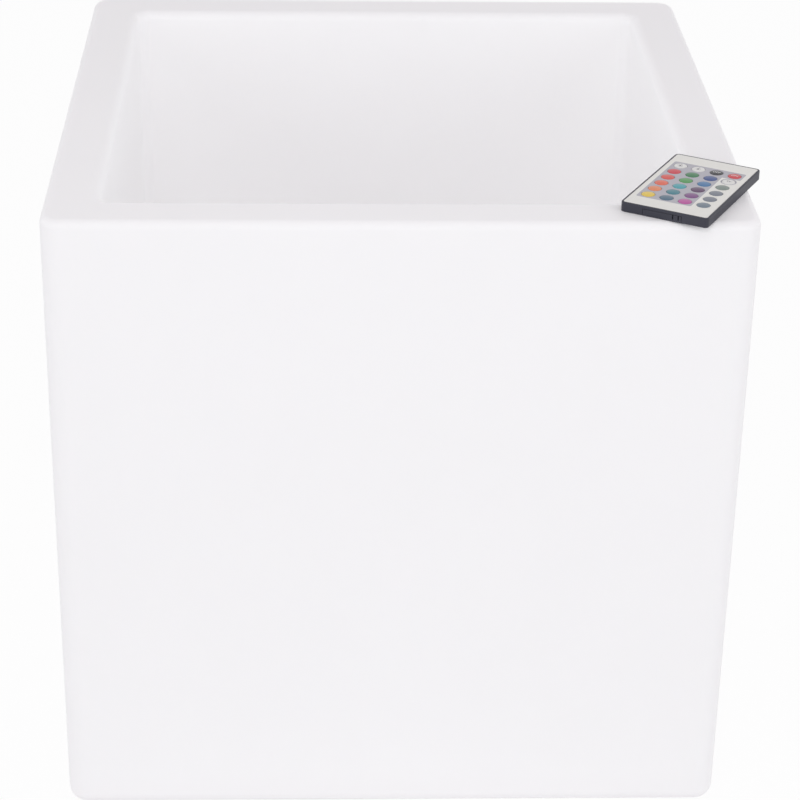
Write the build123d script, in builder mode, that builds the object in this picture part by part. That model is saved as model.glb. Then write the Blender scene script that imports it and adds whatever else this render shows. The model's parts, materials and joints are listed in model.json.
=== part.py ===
from build123d import *
import os
from math import cos, radians, sin

# Light-up cube table: a hollow moulded shell with a basin in its top, a light module closed into
# its underside, and a slim colour remote lying over the front right corner of the rim.
# Millimetres, +Z up, origin on the floor under the middle of the cube, front face towards -Y.

# Shell, one hollow moulding
cube_width = 400.0
shell_height = 391.0
wall = 4.5
side_corner_radius = 12.0
top_edge_radius = 5.0
bottom_edge_radius = 9.0
rim_width = 32.0
rim_edge_radius = 6.0
basin_depth = 195.0
basin_corner_radius = 8.0
basin_floor_radius = 6.0

# Rubber feet, seated in pockets of the underside
floor_clearance = 4.0
foot_radius = 13.0
foot_inset = 50.0
foot_pocket_depth = 3.0
foot_edge_radius = 1.5

# Light module housing, let into a round recess of the underside
recess_depth = 12.0
hole_radius = 68.0
flange_width = 19.0
flange_thickness = 4.0
flange_edge_radius = 1.2
recess_margin = 3.0
gasket_thickness = 1.5
ring_clearance = 2.0
ring_wall = 2.5

# Screws and moulded-in nuts of the module
bolt_count = 6
bolt_inset = 10.0
bolt_radius = 2.0
bolt_engagement = 7.0
bolt_head_radius = 4.0
bolt_head_height = 2.8
insert_radius = 4.0
insert_length = 10.0
insert_floor = 1.5
boss_wall = 4.0

# Small screws of the boards and the battery cover
small_screw_radius = 1.4
small_screw_length = 8.0
small_head_radius = 2.6
small_head_height = 1.8
small_boss_radius = 3.5

# Rechargeable cells, holder and cover
cell_radius = 9.2
cell_length = 65.0
cell_gap = 1.0
cell_nub_radius = 3.0
cell_nub_height = 0.8
battery_y = 16.0
holder_wall = 1.5
contact_room = 2.5
contact_thickness = 0.5
contact_dimple_radius = 2.5
contact_margin = 1.0
tail_height = 3.0
tail_length = 4.5
cover_thickness = 2.4
cover_ledge = 3.6
cover_land = 15.0
cover_corner_radius = 4.0
cover_screw_inset = 7.0
cover_pad_length = 50.0
cover_pad_width = 3.0

# Lamp board, lamps, receiver and lens
board_thickness = 1.6
board_gap = 3.0
board_edge_gap = 1.5
board_boss_inset = 4.0
board_boss_count = 3
board_boss_start = 30.0
lamp_size = 5.0
lamp_height = 1.6
outer_lamp_radius = 40.0
outer_lamp_count = 8
inner_lamp_radius = 18.0
inner_lamp_count = 4
receiver_width = 6.0
receiver_depth = 4.0
receiver_height = 7.0
receiver_lens_radius = 1.8
receiver_x = 29.0
lens_gap = 2.9
lens_rise = 15.0
lens_thickness = 2.0
lens_rim_height = 2.0
lens_skirt_depth = 2.0
chip_length = 10.0
chip_width = 4.0
chip_height = 1.6
coil_radius = 4.0
coil_height = 4.5
chip_offset = 28.0

# Switch board with button, charge socket and status lamp
control_length = 76.0
control_depth = 20.0
control_y = -36.0
control_stand = 7.5
control_screw_inset = 6.0
control_pitch = 18.0
button_radius = 7.0
button_flange = 1.5
button_flange_thickness = 1.5
button_proud = 1.2
button_edge_radius = 0.8
button_stem_radius = 2.5
button_travel = 0.8
switch_size = 6.0
switch_height = 3.5
plunger_radius = 1.75
plunger_length = 1.0
socket_size = 9.0
socket_nose_radius = 4.5
socket_nose_recess = 1.0
socket_bore_radius = 2.9
socket_bore_depth = 9.0
socket_pin_radius = 1.0
socket_pin_length = 7.0
bung_cap_radius = 7.0
bung_cap_thickness = 1.8
bung_tab_width = 7.0
bung_tab_length = 12.0
bung_stem_length = 6.0
status_radius = 1.5
status_collar = 0.4
status_collar_thickness = 1.0
status_length = 7.5
status_leg_radius = 0.3
status_leg_pitch = 1.6
lead_radius = 0.7
lead_bend_radius = 2.0
lead_drop = 3.0
lamp_lead_count = 4
lamp_lead_pitch = 5.0
lamp_lead_jog = 3.0

# Remote, lying flat on the rim
remote_inset_x = 35.1
remote_inset_y = 42.5
remote_turn = 29.0
remote_width = 52.0
remote_length = 85.0
remote_corner_radius = 2.5
remote_edge_radius = 0.5
case_wall = 1.2
case_floor = 0.5
case_height = 5.0
case_post_radius = 1.5
case_post_inset = 5.0
case_lip_width = 0.8
case_lip_height = 0.5
plate_thickness = 0.6
film_thickness = 0.2
film_border = 1.2
key_columns = 4
key_row_count = 6
key_side_margin = 9.5
key_end_margin = 17.75
key_radius = 3.8
key_clearance = 0.2
key_flange = 0.6
key_flange_thickness = 0.25
key_dome_height = 0.4
key_travel = 0.3
dome_radius = 2.5
dome_height = 0.25
remote_board_thickness = 0.5
remote_board_end_gap = 6.5
infrared_radius = 1.5
infrared_length = 6.6
infrared_tip_radius = 1.3
infrared_height = 2.8
infrared_leg_radius = 0.25
infrared_leg_pitch = 1.6
infrared_leg_length = 3.0
remote_chip_length = 10.0
remote_chip_width = 6.0
remote_chip_height = 1.6
crystal_length = 8.0
crystal_width = 3.0
crystal_height = 2.0

# Coin cell and its tray in the near end of the remote
coin_radius = 10.0
coin_thickness = 2.5
tray_x = -1.0
tray_side = 1.2
tray_floor = 0.35
tray_front_height = 4.0
tray_latch_x = 7.0
tray_latch_width = 2.6
tray_slot_width = 0.7
tray_slot_height = 2.6
coin_contact_thickness = 0.1
coin_contact_width = 4.0
coin_contact_length = 8.0
edge_contact_thickness = 0.2
edge_contact_height = 2.0

# Fits
seat_clearance = 0.2
thread_clearance = 0.05
run_clearance = 0.3
press_gap = 0.1
dome_gap = 0.05

# Heights and widths that follow from the sizes above
shell_bottom_z = floor_clearance
shell_top_z = shell_bottom_z + shell_height
basin_width = cube_width - 2 * rim_width
foot_spacing = cube_width - 2 * foot_inset
foot_pocket_radius = foot_radius + seat_clearance

recess_z = shell_bottom_z + recess_depth
flange_radius = hole_radius + flange_width
recess_radius = flange_radius + recess_margin
flange_top_z = recess_z - gasket_thickness
flange_bottom_z = flange_top_z - flange_thickness
ring_radius = hole_radius - ring_clearance
ring_bore_radius = ring_radius - ring_wall
bolt_reach = hole_radius + bolt_inset
bolt_hole_radius = bolt_radius + run_clearance
bolt_length = flange_thickness + gasket_thickness + bolt_engagement
small_hole_radius = small_screw_radius + run_clearance

cell_z = flange_top_z + run_clearance + cell_radius
cell_y_offset = cell_radius + cell_gap / 2
holder_bore_length = cell_length + 2 * contact_room
holder_bore_width = 4 * cell_radius + cell_gap + 2 * run_clearance
holder_bore_top_z = cell_z + cell_radius + run_clearance
holder_top_z = holder_bore_top_z + holder_wall
holder_front_y = battery_y - holder_bore_width / 2 - holder_wall
contact_x = holder_bore_length / 2 - contact_thickness / 2
cover_length = holder_bore_length + 2 * cover_land
cover_width = holder_bore_width + 2 * cover_ledge
cover_screw_x = cover_length / 2 - cover_screw_inset
cover_top_z = flange_bottom_z + cover_thickness

lamp_board_z = holder_top_z + board_gap
lamp_board_top_z = lamp_board_z + board_thickness
lamp_board_radius = ring_bore_radius - board_edge_gap
board_boss_reach = lamp_board_radius - board_boss_inset
ring_top_z = lamp_board_top_z + lens_gap

control_z = flange_top_z + control_stand
control_top_z = control_z + board_thickness
control_screw_x = control_length / 2 - control_screw_inset
button_x = -control_pitch
socket_x = control_pitch
lead_end_y = control_y + control_depth / 4
lamp_lead_y = control_y - control_depth / 4

remote_x = cube_width / 2 - remote_inset_x
remote_y = remote_inset_y - cube_width / 2
remote_plane = Plane(
    origin=(remote_x, remote_y, shell_top_z),
    x_dir=(cos(radians(remote_turn)), -sin(radians(remote_turn)), 0),
    z_dir=(0, 0, 1),
)
case_bore_width = remote_width - 2 * case_wall
case_bore_length = remote_length - 2 * case_wall
film_width = remote_width - 2 * film_border
film_length = remote_length - 2 * film_border
film_z = case_height + plate_thickness
remote_height = film_z + film_thickness
key_pitch_x = (remote_width - 2 * key_side_margin) / (key_columns - 1)
key_pitch_y = (remote_length - 2 * key_end_margin) / (key_row_count - 1)
key_hole_radius = key_radius + key_clearance
key_flange_z = case_height - dome_gap - key_flange_thickness
dome_z = key_flange_z - key_travel - dome_gap - dome_height
remote_board_z = dome_z - remote_board_thickness
near_end_y = -remote_length / 2
far_end_y = remote_length / 2
board_near_y = near_end_y + case_wall + run_clearance
board_far_y = far_end_y - remote_board_end_gap
tray_z = case_floor + press_gap
tray_width = 2 * (coin_radius + seat_clearance + tray_side)
tray_length = tray_width
coin_z = tray_z + tray_floor
coin_y = near_end_y + case_wall + tray_length / 2

os.makedirs("parts", exist_ok=True)


def write(piece, name):
    """Label a finished piece and write it as its own file."""
    piece.label = name
    export_step(piece, f"parts/{name}.step")


def pan_head_screws(spots, seat_z, way, radius, length, head_radius, head_height):
    """A group of pan head screws; each shank runs from its seat along way, +1 up or -1 down."""
    drive_width = radius * 0.5
    drive_length = head_radius * 1.1
    with BuildPart() as screws:
        with BuildSketch(Plane.XY.offset(seat_z)):
            with Locations(*spots):
                Circle(radius)
        extrude(amount=way * length)
        with BuildSketch(Plane.XY.offset(seat_z)):
            with Locations(*spots):
                Circle(head_radius)
        extrude(amount=-way * head_height)
        crowns = screws.faces().sort_by(Axis.Z, reverse=way < 0)[: len(spots)]
        fillet(crowns.edges(), radius=head_height * 0.4)
        with BuildSketch(Plane.XY.offset(seat_z - way * head_height)):
            with Locations(*spots):
                Rectangle(drive_length, drive_width)
                Rectangle(drive_width, drive_length)
        extrude(amount=way * head_height * 0.5, mode=Mode.SUBTRACT)
    return screws.part


# Shell: the hollow between its skins, then the skins with the hollow taken out
with BuildPart() as hollow:
    with BuildSketch(Plane.XY.offset(shell_bottom_z + wall)):
        inner_width = cube_width - 2 * wall
        RectangleRounded(inner_width, inner_width, max(side_corner_radius - wall, wall / 2))
    extrude(amount=shell_height - 2 * wall)
    with BuildSketch(Plane.XY.offset(shell_top_z)):
        skin_width = basin_width + 2 * wall
        RectangleRounded(skin_width, skin_width, basin_corner_radius + wall)
    extrude(amount=-(basin_depth + wall), mode=Mode.SUBTRACT)
    with BuildSketch(Plane.XY.offset(shell_bottom_z)):
        Circle(recess_radius + wall)
    extrude(amount=recess_depth + wall, mode=Mode.SUBTRACT)
    with BuildSketch(Plane.XY.offset(recess_z)):
        with PolarLocations(bolt_reach, bolt_count):
            Circle(insert_radius + boss_wall)
    extrude(amount=insert_length + boss_wall, mode=Mode.SUBTRACT)
    with BuildSketch(Plane.XY.offset(shell_bottom_z)):
        with GridLocations(foot_spacing, foot_spacing, 2, 2):
            Circle(foot_pocket_radius + wall)
    extrude(amount=foot_pocket_depth + wall, mode=Mode.SUBTRACT)

with BuildPart() as shell:
    with BuildSketch(Plane.XY.offset(shell_bottom_z)):
        RectangleRounded(cube_width, cube_width, side_corner_radius)
    extrude(amount=shell_height)
    fillet(shell.faces().sort_by(Axis.Z)[-1].edges(), radius=top_edge_radius)
    fillet(shell.faces().sort_by(Axis.Z)[0].edges(), radius=bottom_edge_radius)
    with BuildSketch(Plane.XY.offset(shell_top_z)):
        RectangleRounded(basin_width, basin_width, basin_corner_radius)
    extrude(amount=-basin_depth, mode=Mode.SUBTRACT)
    flats = shell.faces().filter_by(Plane.XY).sort_by(Axis.Z)
    fillet(flats[-1].inner_wires()[0].edges(), radius=rim_edge_radius)
    basin_floor = shell.faces().filter_by(Plane.XY).sort_by(Axis.Z)[1]
    fillet(basin_floor.edges(), radius=min(basin_floor_radius, 0.9 * basin_corner_radius))
    with BuildSketch(Plane.XY.offset(shell_bottom_z)):
        Circle(recess_radius)
    extrude(amount=recess_depth, mode=Mode.SUBTRACT)
    with BuildSketch(Plane.XY.offset(shell_bottom_z)):
        with GridLocations(foot_spacing, foot_spacing, 2, 2):
            Circle(foot_pocket_radius)
    extrude(amount=foot_pocket_depth, mode=Mode.SUBTRACT)
    add(hollow.part, mode=Mode.SUBTRACT)
    with BuildSketch(Plane.XY.offset(recess_z)):
        Circle(hole_radius)
    extrude(amount=wall, mode=Mode.SUBTRACT)
    with BuildSketch(Plane.XY.offset(recess_z)):
        with PolarLocations(bolt_reach, bolt_count):
            Circle(insert_radius + thread_clearance)
    extrude(amount=insert_length, mode=Mode.SUBTRACT)
write(shell.part, "shell")

with BuildPart() as shell_inserts:
    with BuildSketch(Plane.XY.offset(recess_z)):
        with PolarLocations(bolt_reach, bolt_count):
            Circle(insert_radius)
    extrude(amount=insert_length)
    with BuildSketch(Plane.XY.offset(recess_z)):
        with PolarLocations(bolt_reach, bolt_count):
            Circle(bolt_radius + thread_clearance)
    extrude(amount=insert_length - insert_floor, mode=Mode.SUBTRACT)
write(shell_inserts.part, "shell_inserts")

with BuildPart() as rubber_feet:
    with BuildSketch():
        with GridLocations(foot_spacing, foot_spacing, 2, 2):
            Circle(foot_radius)
    extrude(amount=floor_clearance + foot_pocket_depth)
    fillet(rubber_feet.edges().group_by(Axis.Z)[0], radius=foot_edge_radius)
write(rubber_feet.part, "rubber_feet")

# Light module housing with its seal and screws
board_boss_spots = PolarLocations(board_boss_reach, board_boss_count, board_boss_start).local_locations
control_screw_spots = [(side * control_screw_x, control_y) for side in (-1, 1)]
cover_screw_spots = [(side * cover_screw_x, battery_y) for side in (-1, 1)]

with BuildPart() as module_base:
    with BuildSketch(Plane.XY.offset(flange_bottom_z)):
        Circle(flange_radius)
    extrude(amount=flange_thickness)
    fillet(module_base.edges().group_by(Axis.Z)[0], radius=flange_edge_radius)
    with BuildSketch(Plane.XY.offset(flange_top_z)):
        Circle(ring_radius)
        Circle(ring_bore_radius, mode=Mode.SUBTRACT)
    extrude(amount=ring_top_z - flange_top_z)
    with BuildSketch(Plane.XY.offset(flange_top_z)):
        with PolarLocations(board_boss_reach, board_boss_count, board_boss_start):
            Circle(small_boss_radius)
    extrude(amount=lamp_board_z - flange_top_z)
    with BuildSketch(Plane.XY.offset(flange_top_z)):
        with Locations(*control_screw_spots):
            Circle(small_boss_radius)
    extrude(amount=control_stand)
    with BuildSketch(Plane.XY.offset(flange_top_z)):
        with Locations(*cover_screw_spots):
            Circle(small_boss_radius)
    extrude(amount=small_screw_length)
    with BuildSketch(Plane.XY.offset(flange_bottom_z)):
        with PolarLocations(bolt_reach, bolt_count):
            Circle(bolt_hole_radius)
    extrude(amount=flange_thickness, mode=Mode.SUBTRACT)
    with BuildSketch(Plane.XY.offset(lamp_board_z)):
        with PolarLocations(board_boss_reach, board_boss_count, board_boss_start):
            Circle(small_screw_radius + thread_clearance)
    extrude(amount=-small_screw_length, mode=Mode.SUBTRACT)
    with BuildSketch(Plane.XY.offset(control_z)):
        with Locations(*control_screw_spots):
            Circle(small_screw_radius + thread_clearance)
    extrude(amount=-small_screw_length, mode=Mode.SUBTRACT)
    with BuildSketch(Plane.XY.offset(cover_top_z)):
        with Locations(*cover_screw_spots):
            Circle(small_screw_radius + thread_clearance)
    extrude(amount=small_screw_length, mode=Mode.SUBTRACT)
    with BuildSketch(Plane.XY.offset(flange_bottom_z)):
        with Locations((0, battery_y)):
            cover_bay_corner = cover_corner_radius + seat_clearance
            cover_bay_length = cover_length + 2 * seat_clearance
            RectangleRounded(cover_bay_length, cover_width + 2 * seat_clearance, cover_bay_corner)
    extrude(amount=cover_thickness, mode=Mode.SUBTRACT)
    with BuildSketch(Plane.XY.offset(cover_top_z)):
        with Locations((0, battery_y)):
            Rectangle(holder_bore_length, holder_bore_width)
    extrude(amount=flange_thickness, mode=Mode.SUBTRACT)
    with BuildSketch(Plane.XY.offset(flange_bottom_z)):
        with Locations((button_x, control_y)):
            Circle(button_radius + run_clearance)
        with Locations((socket_x, control_y)):
            Circle(socket_nose_radius + run_clearance)
        with Locations((0, control_y)):
            Circle(status_radius + seat_clearance)
    extrude(amount=flange_thickness, mode=Mode.SUBTRACT)
write(module_base.part, "module_base")

with BuildPart() as module_gasket:
    with BuildSketch(Plane.XY.offset(flange_top_z)):
        Circle(flange_radius - flange_edge_radius)
        Circle(hole_radius, mode=Mode.SUBTRACT)
        with PolarLocations(bolt_reach, bolt_count):
            Circle(bolt_hole_radius, mode=Mode.SUBTRACT)
    extrude(amount=gasket_thickness)
write(module_gasket.part, "module_gasket")

bolt_spots = PolarLocations(bolt_reach, bolt_count).local_locations
module_screws = pan_head_screws(
    bolt_spots, flange_bottom_z, 1, bolt_radius, bolt_length, bolt_head_radius, bolt_head_height
)
write(module_screws, "module_screws")

# Rechargeable cells in their holder, with contacts and cover
with BuildPart() as battery_holder:
    with BuildSketch(Plane.XY.offset(flange_top_z)):
        with Locations((0, battery_y)):
            Rectangle(holder_bore_length + 2 * holder_wall, holder_bore_width + 2 * holder_wall)
    extrude(amount=holder_top_z - flange_top_z)
    with BuildSketch(Plane.XY.offset(flange_top_z)):
        with Locations((0, battery_y)):
            Rectangle(holder_bore_length, holder_bore_width)
    extrude(amount=holder_bore_top_z - flange_top_z, mode=Mode.SUBTRACT)
    with BuildSketch(Plane.XZ.offset(-holder_front_y)):
        with GridLocations(2 * contact_x, 0, 2, 1):
            with Locations((0, cell_z)):
                Rectangle(contact_thickness + 2 * seat_clearance, tail_height + 2 * seat_clearance)
    extrude(amount=-holder_wall, mode=Mode.SUBTRACT)
write(battery_holder.part, "battery_holder")

with BuildPart() as battery_cells:
    with BuildSketch(Plane.YZ.offset(-cell_length / 2)):
        with Locations((battery_y - cell_y_offset, cell_z), (battery_y + cell_y_offset, cell_z)):
            Circle(cell_radius)
    extrude(amount=cell_length - cell_nub_height)
    with BuildSketch(Plane.YZ.offset(cell_length / 2 - cell_nub_height)):
        with Locations((battery_y - cell_y_offset, cell_z), (battery_y + cell_y_offset, cell_z)):
            Circle(cell_nub_radius)
    extrude(amount=cell_nub_height)
write(battery_cells.part, "battery_cells")

with BuildPart() as battery_contacts:
    plate_width = holder_bore_width - 2 * contact_margin
    plate_height = 2 * cell_radius - 2 * contact_margin
    tail_reach = contact_margin + holder_wall + tail_length
    dimple_length = contact_room - contact_thickness - press_gap
    for side in (-1, 1):
        with BuildSketch(Plane.YZ.offset(side * holder_bore_length / 2)):
            with Locations((battery_y, cell_z)):
                Rectangle(plate_width, plate_height)
            with Locations((battery_y - plate_width / 2, cell_z)):
                Rectangle(tail_reach, tail_height, align=(Align.MAX, Align.CENTER))
        extrude(amount=-side * contact_thickness)
        with BuildSketch(Plane.YZ.offset(side * (holder_bore_length / 2 - contact_thickness))):
            with Locations((battery_y - cell_y_offset, cell_z), (battery_y + cell_y_offset, cell_z)):
                Circle(contact_dimple_radius)
        extrude(amount=-side * dimple_length)
write(battery_contacts.part, "battery_contacts")

with BuildPart() as battery_cover:
    with BuildSketch(Plane.XY.offset(flange_bottom_z)):
        with Locations((0, battery_y)):
            RectangleRounded(cover_length, cover_width, cover_corner_radius)
    extrude(amount=cover_thickness)
    with BuildSketch(Plane.XY.offset(cover_top_z)):
        with Locations((0, battery_y - cell_y_offset), (0, battery_y + cell_y_offset)):
            Rectangle(cover_pad_length, cover_pad_width)
    extrude(amount=cell_z - cell_radius - press_gap - cover_top_z)
    with BuildSketch(Plane.XY.offset(flange_bottom_z)):
        with Locations(*cover_screw_spots):
            Circle(small_hole_radius)
    extrude(amount=cover_thickness, mode=Mode.SUBTRACT)
write(battery_cover.part, "battery_cover")

battery_cover_screws = pan_head_screws(
    cover_screw_spots,
    flange_bottom_z,
    1,
    small_screw_radius,
    small_screw_length,
    small_head_radius,
    small_head_height,
)
write(battery_cover_screws, "battery_cover_screws")

# Lamp board with its lamps, parts, receiver and lens
with BuildPart() as led_board:
    with BuildSketch(Plane.XY.offset(lamp_board_z)):
        Circle(lamp_board_radius)
        with PolarLocations(board_boss_reach, board_boss_count, board_boss_start):
            Circle(small_hole_radius, mode=Mode.SUBTRACT)
    extrude(amount=board_thickness)
write(led_board.part, "led_board")

with BuildPart() as leds:
    with BuildSketch(Plane.XY.offset(lamp_board_top_z)):
        with PolarLocations(outer_lamp_radius, outer_lamp_count):
            Rectangle(lamp_size, lamp_size)
        with PolarLocations(inner_lamp_radius, inner_lamp_count, 180 / inner_lamp_count):
            Rectangle(lamp_size, lamp_size)
    extrude(amount=lamp_height)
write(leds.part, "leds")

with BuildPart() as ir_receiver:
    with BuildSketch(Plane.XY.offset(lamp_board_top_z)):
        with Locations((receiver_x, 0)):
            Rectangle(receiver_width, receiver_depth)
    extrude(amount=receiver_height)
    with Locations((receiver_x, -receiver_depth / 2, lamp_board_top_z + receiver_height / 2)):
        Sphere(receiver_lens_radius)
write(ir_receiver.part, "ir_receiver")

with BuildPart() as module_lens:
    skirt_radius = ring_bore_radius - seat_clearance
    dome_radius_outer = (skirt_radius**2 + lens_rise**2) / (2 * lens_rise)
    dome_centre_z = ring_top_z + lens_rim_height + lens_rise - dome_radius_outer
    with Locations((0, 0, dome_centre_z)):
        Sphere(dome_radius_outer)
        Sphere(dome_radius_outer - lens_thickness, mode=Mode.SUBTRACT)
    split(bisect_by=Plane.XY.offset(ring_top_z + lens_rim_height / 2), keep=Keep.TOP)
    with BuildSketch(Plane.XY.offset(ring_top_z)):
        Circle(ring_radius)
        Circle(skirt_radius - lens_thickness, mode=Mode.SUBTRACT)
    extrude(amount=lens_rim_height)
    with BuildSketch(Plane.XY.offset(ring_top_z)):
        Circle(skirt_radius)
        Circle(skirt_radius - lens_thickness, mode=Mode.SUBTRACT)
    extrude(amount=-lens_skirt_depth)
write(module_lens.part, "module_lens")

# Switch board with what is soldered to it
with BuildPart() as control_board:
    with BuildSketch(Plane.XY.offset(control_z)):
        with Locations((0, control_y)):
            Rectangle(control_length, control_depth)
        with Locations(*control_screw_spots):
            Circle(small_hole_radius, mode=Mode.SUBTRACT)
    extrude(amount=board_thickness)
write(control_board.part, "control_board")

with BuildPart() as board_components:
    with BuildSketch(Plane.XY.offset(lamp_board_top_z)):
        with Locations((0, chip_offset), (0, -chip_offset)):
            Rectangle(chip_length, chip_width)
    extrude(amount=chip_height)
    with BuildSketch(Plane.XY.offset(control_top_z)):
        with Locations((0, control_y)):
            Rectangle(chip_length, chip_width)
    extrude(amount=chip_height)
    with BuildSketch(Plane.XY.offset(control_top_z)):
        with Locations((button_x / 2 - chip_width, control_y), (socket_x / 2 + chip_width, control_y)):
            Circle(coil_radius)
    extrude(amount=coil_height)
write(board_components.part, "board_components")

board_screws = pan_head_screws(
    [spot.position for spot in board_boss_spots],
    lamp_board_top_z,
    -1,
    small_screw_radius,
    small_screw_length,
    small_head_radius,
    small_head_height,
)
control_screws = pan_head_screws(
    control_screw_spots,
    control_top_z,
    -1,
    small_screw_radius,
    small_screw_length,
    small_head_radius,
    small_head_height,
)
with BuildPart() as all_board_screws:
    add(board_screws)
    add(control_screws)
write(all_board_screws.part, "board_screws")

with BuildPart() as power_switch:
    with BuildSketch(Plane.XY.offset(control_z)):
        with Locations((button_x, control_y)):
            Rectangle(switch_size, switch_size)
    extrude(amount=-switch_height)
    with BuildSketch(Plane.XY.offset(control_z - switch_height)):
        with Locations((button_x, control_y)):
            Circle(plunger_radius)
    extrude(amount=-plunger_length)
write(power_switch.part, "power_switch")

with BuildPart() as power_button:
    button_flange_z = flange_top_z + press_gap
    button_stem_top_z = control_z - switch_height - plunger_length - button_travel - press_gap
    with BuildSketch(Plane.XY.offset(flange_bottom_z - button_proud)):
        with Locations((button_x, control_y)):
            Circle(button_radius)
    extrude(amount=button_flange_z + button_flange_thickness - flange_bottom_z + button_proud)
    fillet(power_button.edges().group_by(Axis.Z)[0], radius=button_edge_radius)
    with BuildSketch(Plane.XY.offset(button_flange_z)):
        with Locations((button_x, control_y)):
            Circle(button_radius + button_flange)
    extrude(amount=button_flange_thickness)
    with BuildSketch(Plane.XY.offset(button_flange_z)):
        with Locations((button_x, control_y)):
            Circle(button_stem_radius)
    extrude(amount=button_stem_top_z - button_flange_z)
write(power_button.part, "power_button")

socket_nose_z = flange_bottom_z + socket_nose_recess
with BuildPart() as charge_socket:
    socket_body_z = flange_top_z + press_gap
    with BuildSketch(Plane.XY.offset(socket_body_z)):
        with Locations((socket_x, control_y)):
            Rectangle(socket_size, socket_size)
    extrude(amount=control_z - socket_body_z)
    with BuildSketch(Plane.XY.offset(socket_nose_z)):
        with Locations((socket_x, control_y)):
            Circle(socket_nose_radius)
    extrude(amount=socket_body_z - socket_nose_z)
    with BuildSketch(Plane.XY.offset(socket_nose_z)):
        with Locations((socket_x, control_y)):
            Circle(socket_bore_radius)
    extrude(amount=socket_bore_depth, mode=Mode.SUBTRACT)
    with BuildSketch(Plane.XY.offset(socket_nose_z + socket_bore_depth)):
        with Locations((socket_x, control_y)):
            Circle(socket_pin_radius)
    extrude(amount=-socket_pin_length)
write(charge_socket.part, "charge_socket")

with BuildPart() as charge_bung:
    with BuildSketch(Plane.XY.offset(flange_bottom_z)):
        with Locations((socket_x, control_y)):
            Circle(bung_cap_radius)
            Rectangle(bung_tab_width, bung_tab_length, align=(Align.CENTER, Align.MAX))
    extrude(amount=-bung_cap_thickness)
    with BuildSketch(Plane.XY.offset(flange_bottom_z)):
        with Locations((socket_x, control_y)):
            Circle(socket_nose_radius)
    extrude(amount=socket_nose_recess - press_gap)
    with BuildSketch(Plane.XY.offset(flange_bottom_z)):
        with Locations((socket_x, control_y)):
            Circle(socket_bore_radius - seat_clearance)
    extrude(amount=socket_nose_recess + bung_stem_length)
    with BuildSketch(Plane.XY.offset(flange_bottom_z + socket_nose_recess + bung_stem_length)):
        with Locations((socket_x, control_y)):
            Circle(socket_pin_radius + run_clearance)
    extrude(amount=-bung_stem_length, mode=Mode.SUBTRACT)
write(charge_bung.part, "charge_bung")

with BuildPart() as status_light:
    collar_z = flange_bottom_z + status_length
    with BuildSketch(Plane.XY.offset(flange_bottom_z)):
        with Locations((0, control_y)):
            Circle(status_radius)
    extrude(amount=status_length)
    with BuildSketch(Plane.XY.offset(collar_z)):
        with Locations((0, control_y)):
            Circle(status_radius + status_collar)
    extrude(amount=status_collar_thickness)
    with BuildSketch(Plane.XY.offset(collar_z)):
        with Locations((0, control_y)):
            with GridLocations(status_leg_pitch, 0, 2, 1):
                Circle(status_leg_radius)
    extrude(amount=control_z - collar_z)
write(status_light.part, "status_light")

# Leads: two from the cells to the switch board, four from there up to the lamp board
with BuildPart() as battery_leads:
    tail_end_y = holder_front_y - tail_length
    lead_z = cell_z
    for side in (-1, 1):
        corner = (side * contact_x, lead_end_y, lead_z + lead_drop)
        with BuildLine() as route:
            FilletPolyline(
                (side * contact_x, tail_end_y, lead_z),
                (side * contact_x, tail_end_y - 2 * lead_drop, lead_z),
                corner,
                (side * contact_x, lead_end_y, control_top_z),
                radius=lead_bend_radius,
            )
        with BuildSketch(Plane(origin=route.line @ 0, z_dir=route.line % 0)) as section:
            Circle(lead_radius)
        sweep(sections=section.sketch, path=route.line)
write(battery_leads.part, "battery_leads")

with BuildPart() as lamp_leads:
    lead_rise = lamp_board_z - control_top_z
    for spot in GridLocations(lamp_lead_pitch, 0, lamp_lead_count, 1):
        lead_x = spot.position.X
        with BuildLine() as route:
            FilletPolyline(
                (lead_x, lamp_lead_y, control_top_z),
                (lead_x, lamp_lead_y, control_top_z + lead_rise / 3),
                (lead_x, lamp_lead_y - lamp_lead_jog, control_top_z + 2 * lead_rise / 3),
                (lead_x, lamp_lead_y - lamp_lead_jog, lamp_board_z),
                radius=lead_bend_radius,
            )
        with BuildSketch(Plane(origin=route.line @ 0, z_dir=route.line % 0)) as section:
            Circle(lead_radius)
        sweep(sections=section.sketch, path=route.line)
write(lamp_leads.part, "lamp_leads")

# Remote case: a tray with posts for the board, and a front plate with a round hole for each key
post_x = case_bore_width / 2 - case_post_inset
post_y = case_bore_length / 2 - case_post_inset
with BuildPart() as remote_case_back:
    with BuildSketch(remote_plane):
        RectangleRounded(remote_width, remote_length, remote_corner_radius)
    extrude(amount=case_height)
    fillet(remote_case_back.edges().group_by(Axis.Z)[0], radius=remote_edge_radius)
    with BuildSketch(remote_plane.offset(case_floor)):
        Rectangle(case_bore_width, case_bore_length)
    extrude(amount=case_height - case_floor, mode=Mode.SUBTRACT)
    with BuildSketch(remote_plane.offset(case_floor)):
        with GridLocations(2 * post_x, post_y, 2, 3):
            Circle(case_post_radius)
    extrude(amount=remote_board_z - case_floor)
    with BuildSketch(remote_plane):
        with Locations((tray_x, near_end_y)):
            tray_bay_width = tray_width + 2 * seat_clearance
            Rectangle(tray_bay_width, case_wall, align=(Align.CENTER, Align.MIN))
    extrude(amount=tray_front_height + seat_clearance, mode=Mode.SUBTRACT)
    with BuildSketch(Plane(remote_plane.location * Pos(0, far_end_y, infrared_height) * Rot(90, 0, 0))):
        Circle(infrared_radius + seat_clearance)
    extrude(amount=case_wall, mode=Mode.SUBTRACT)
write(remote_case_back.part, "remote_case_back")

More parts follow.
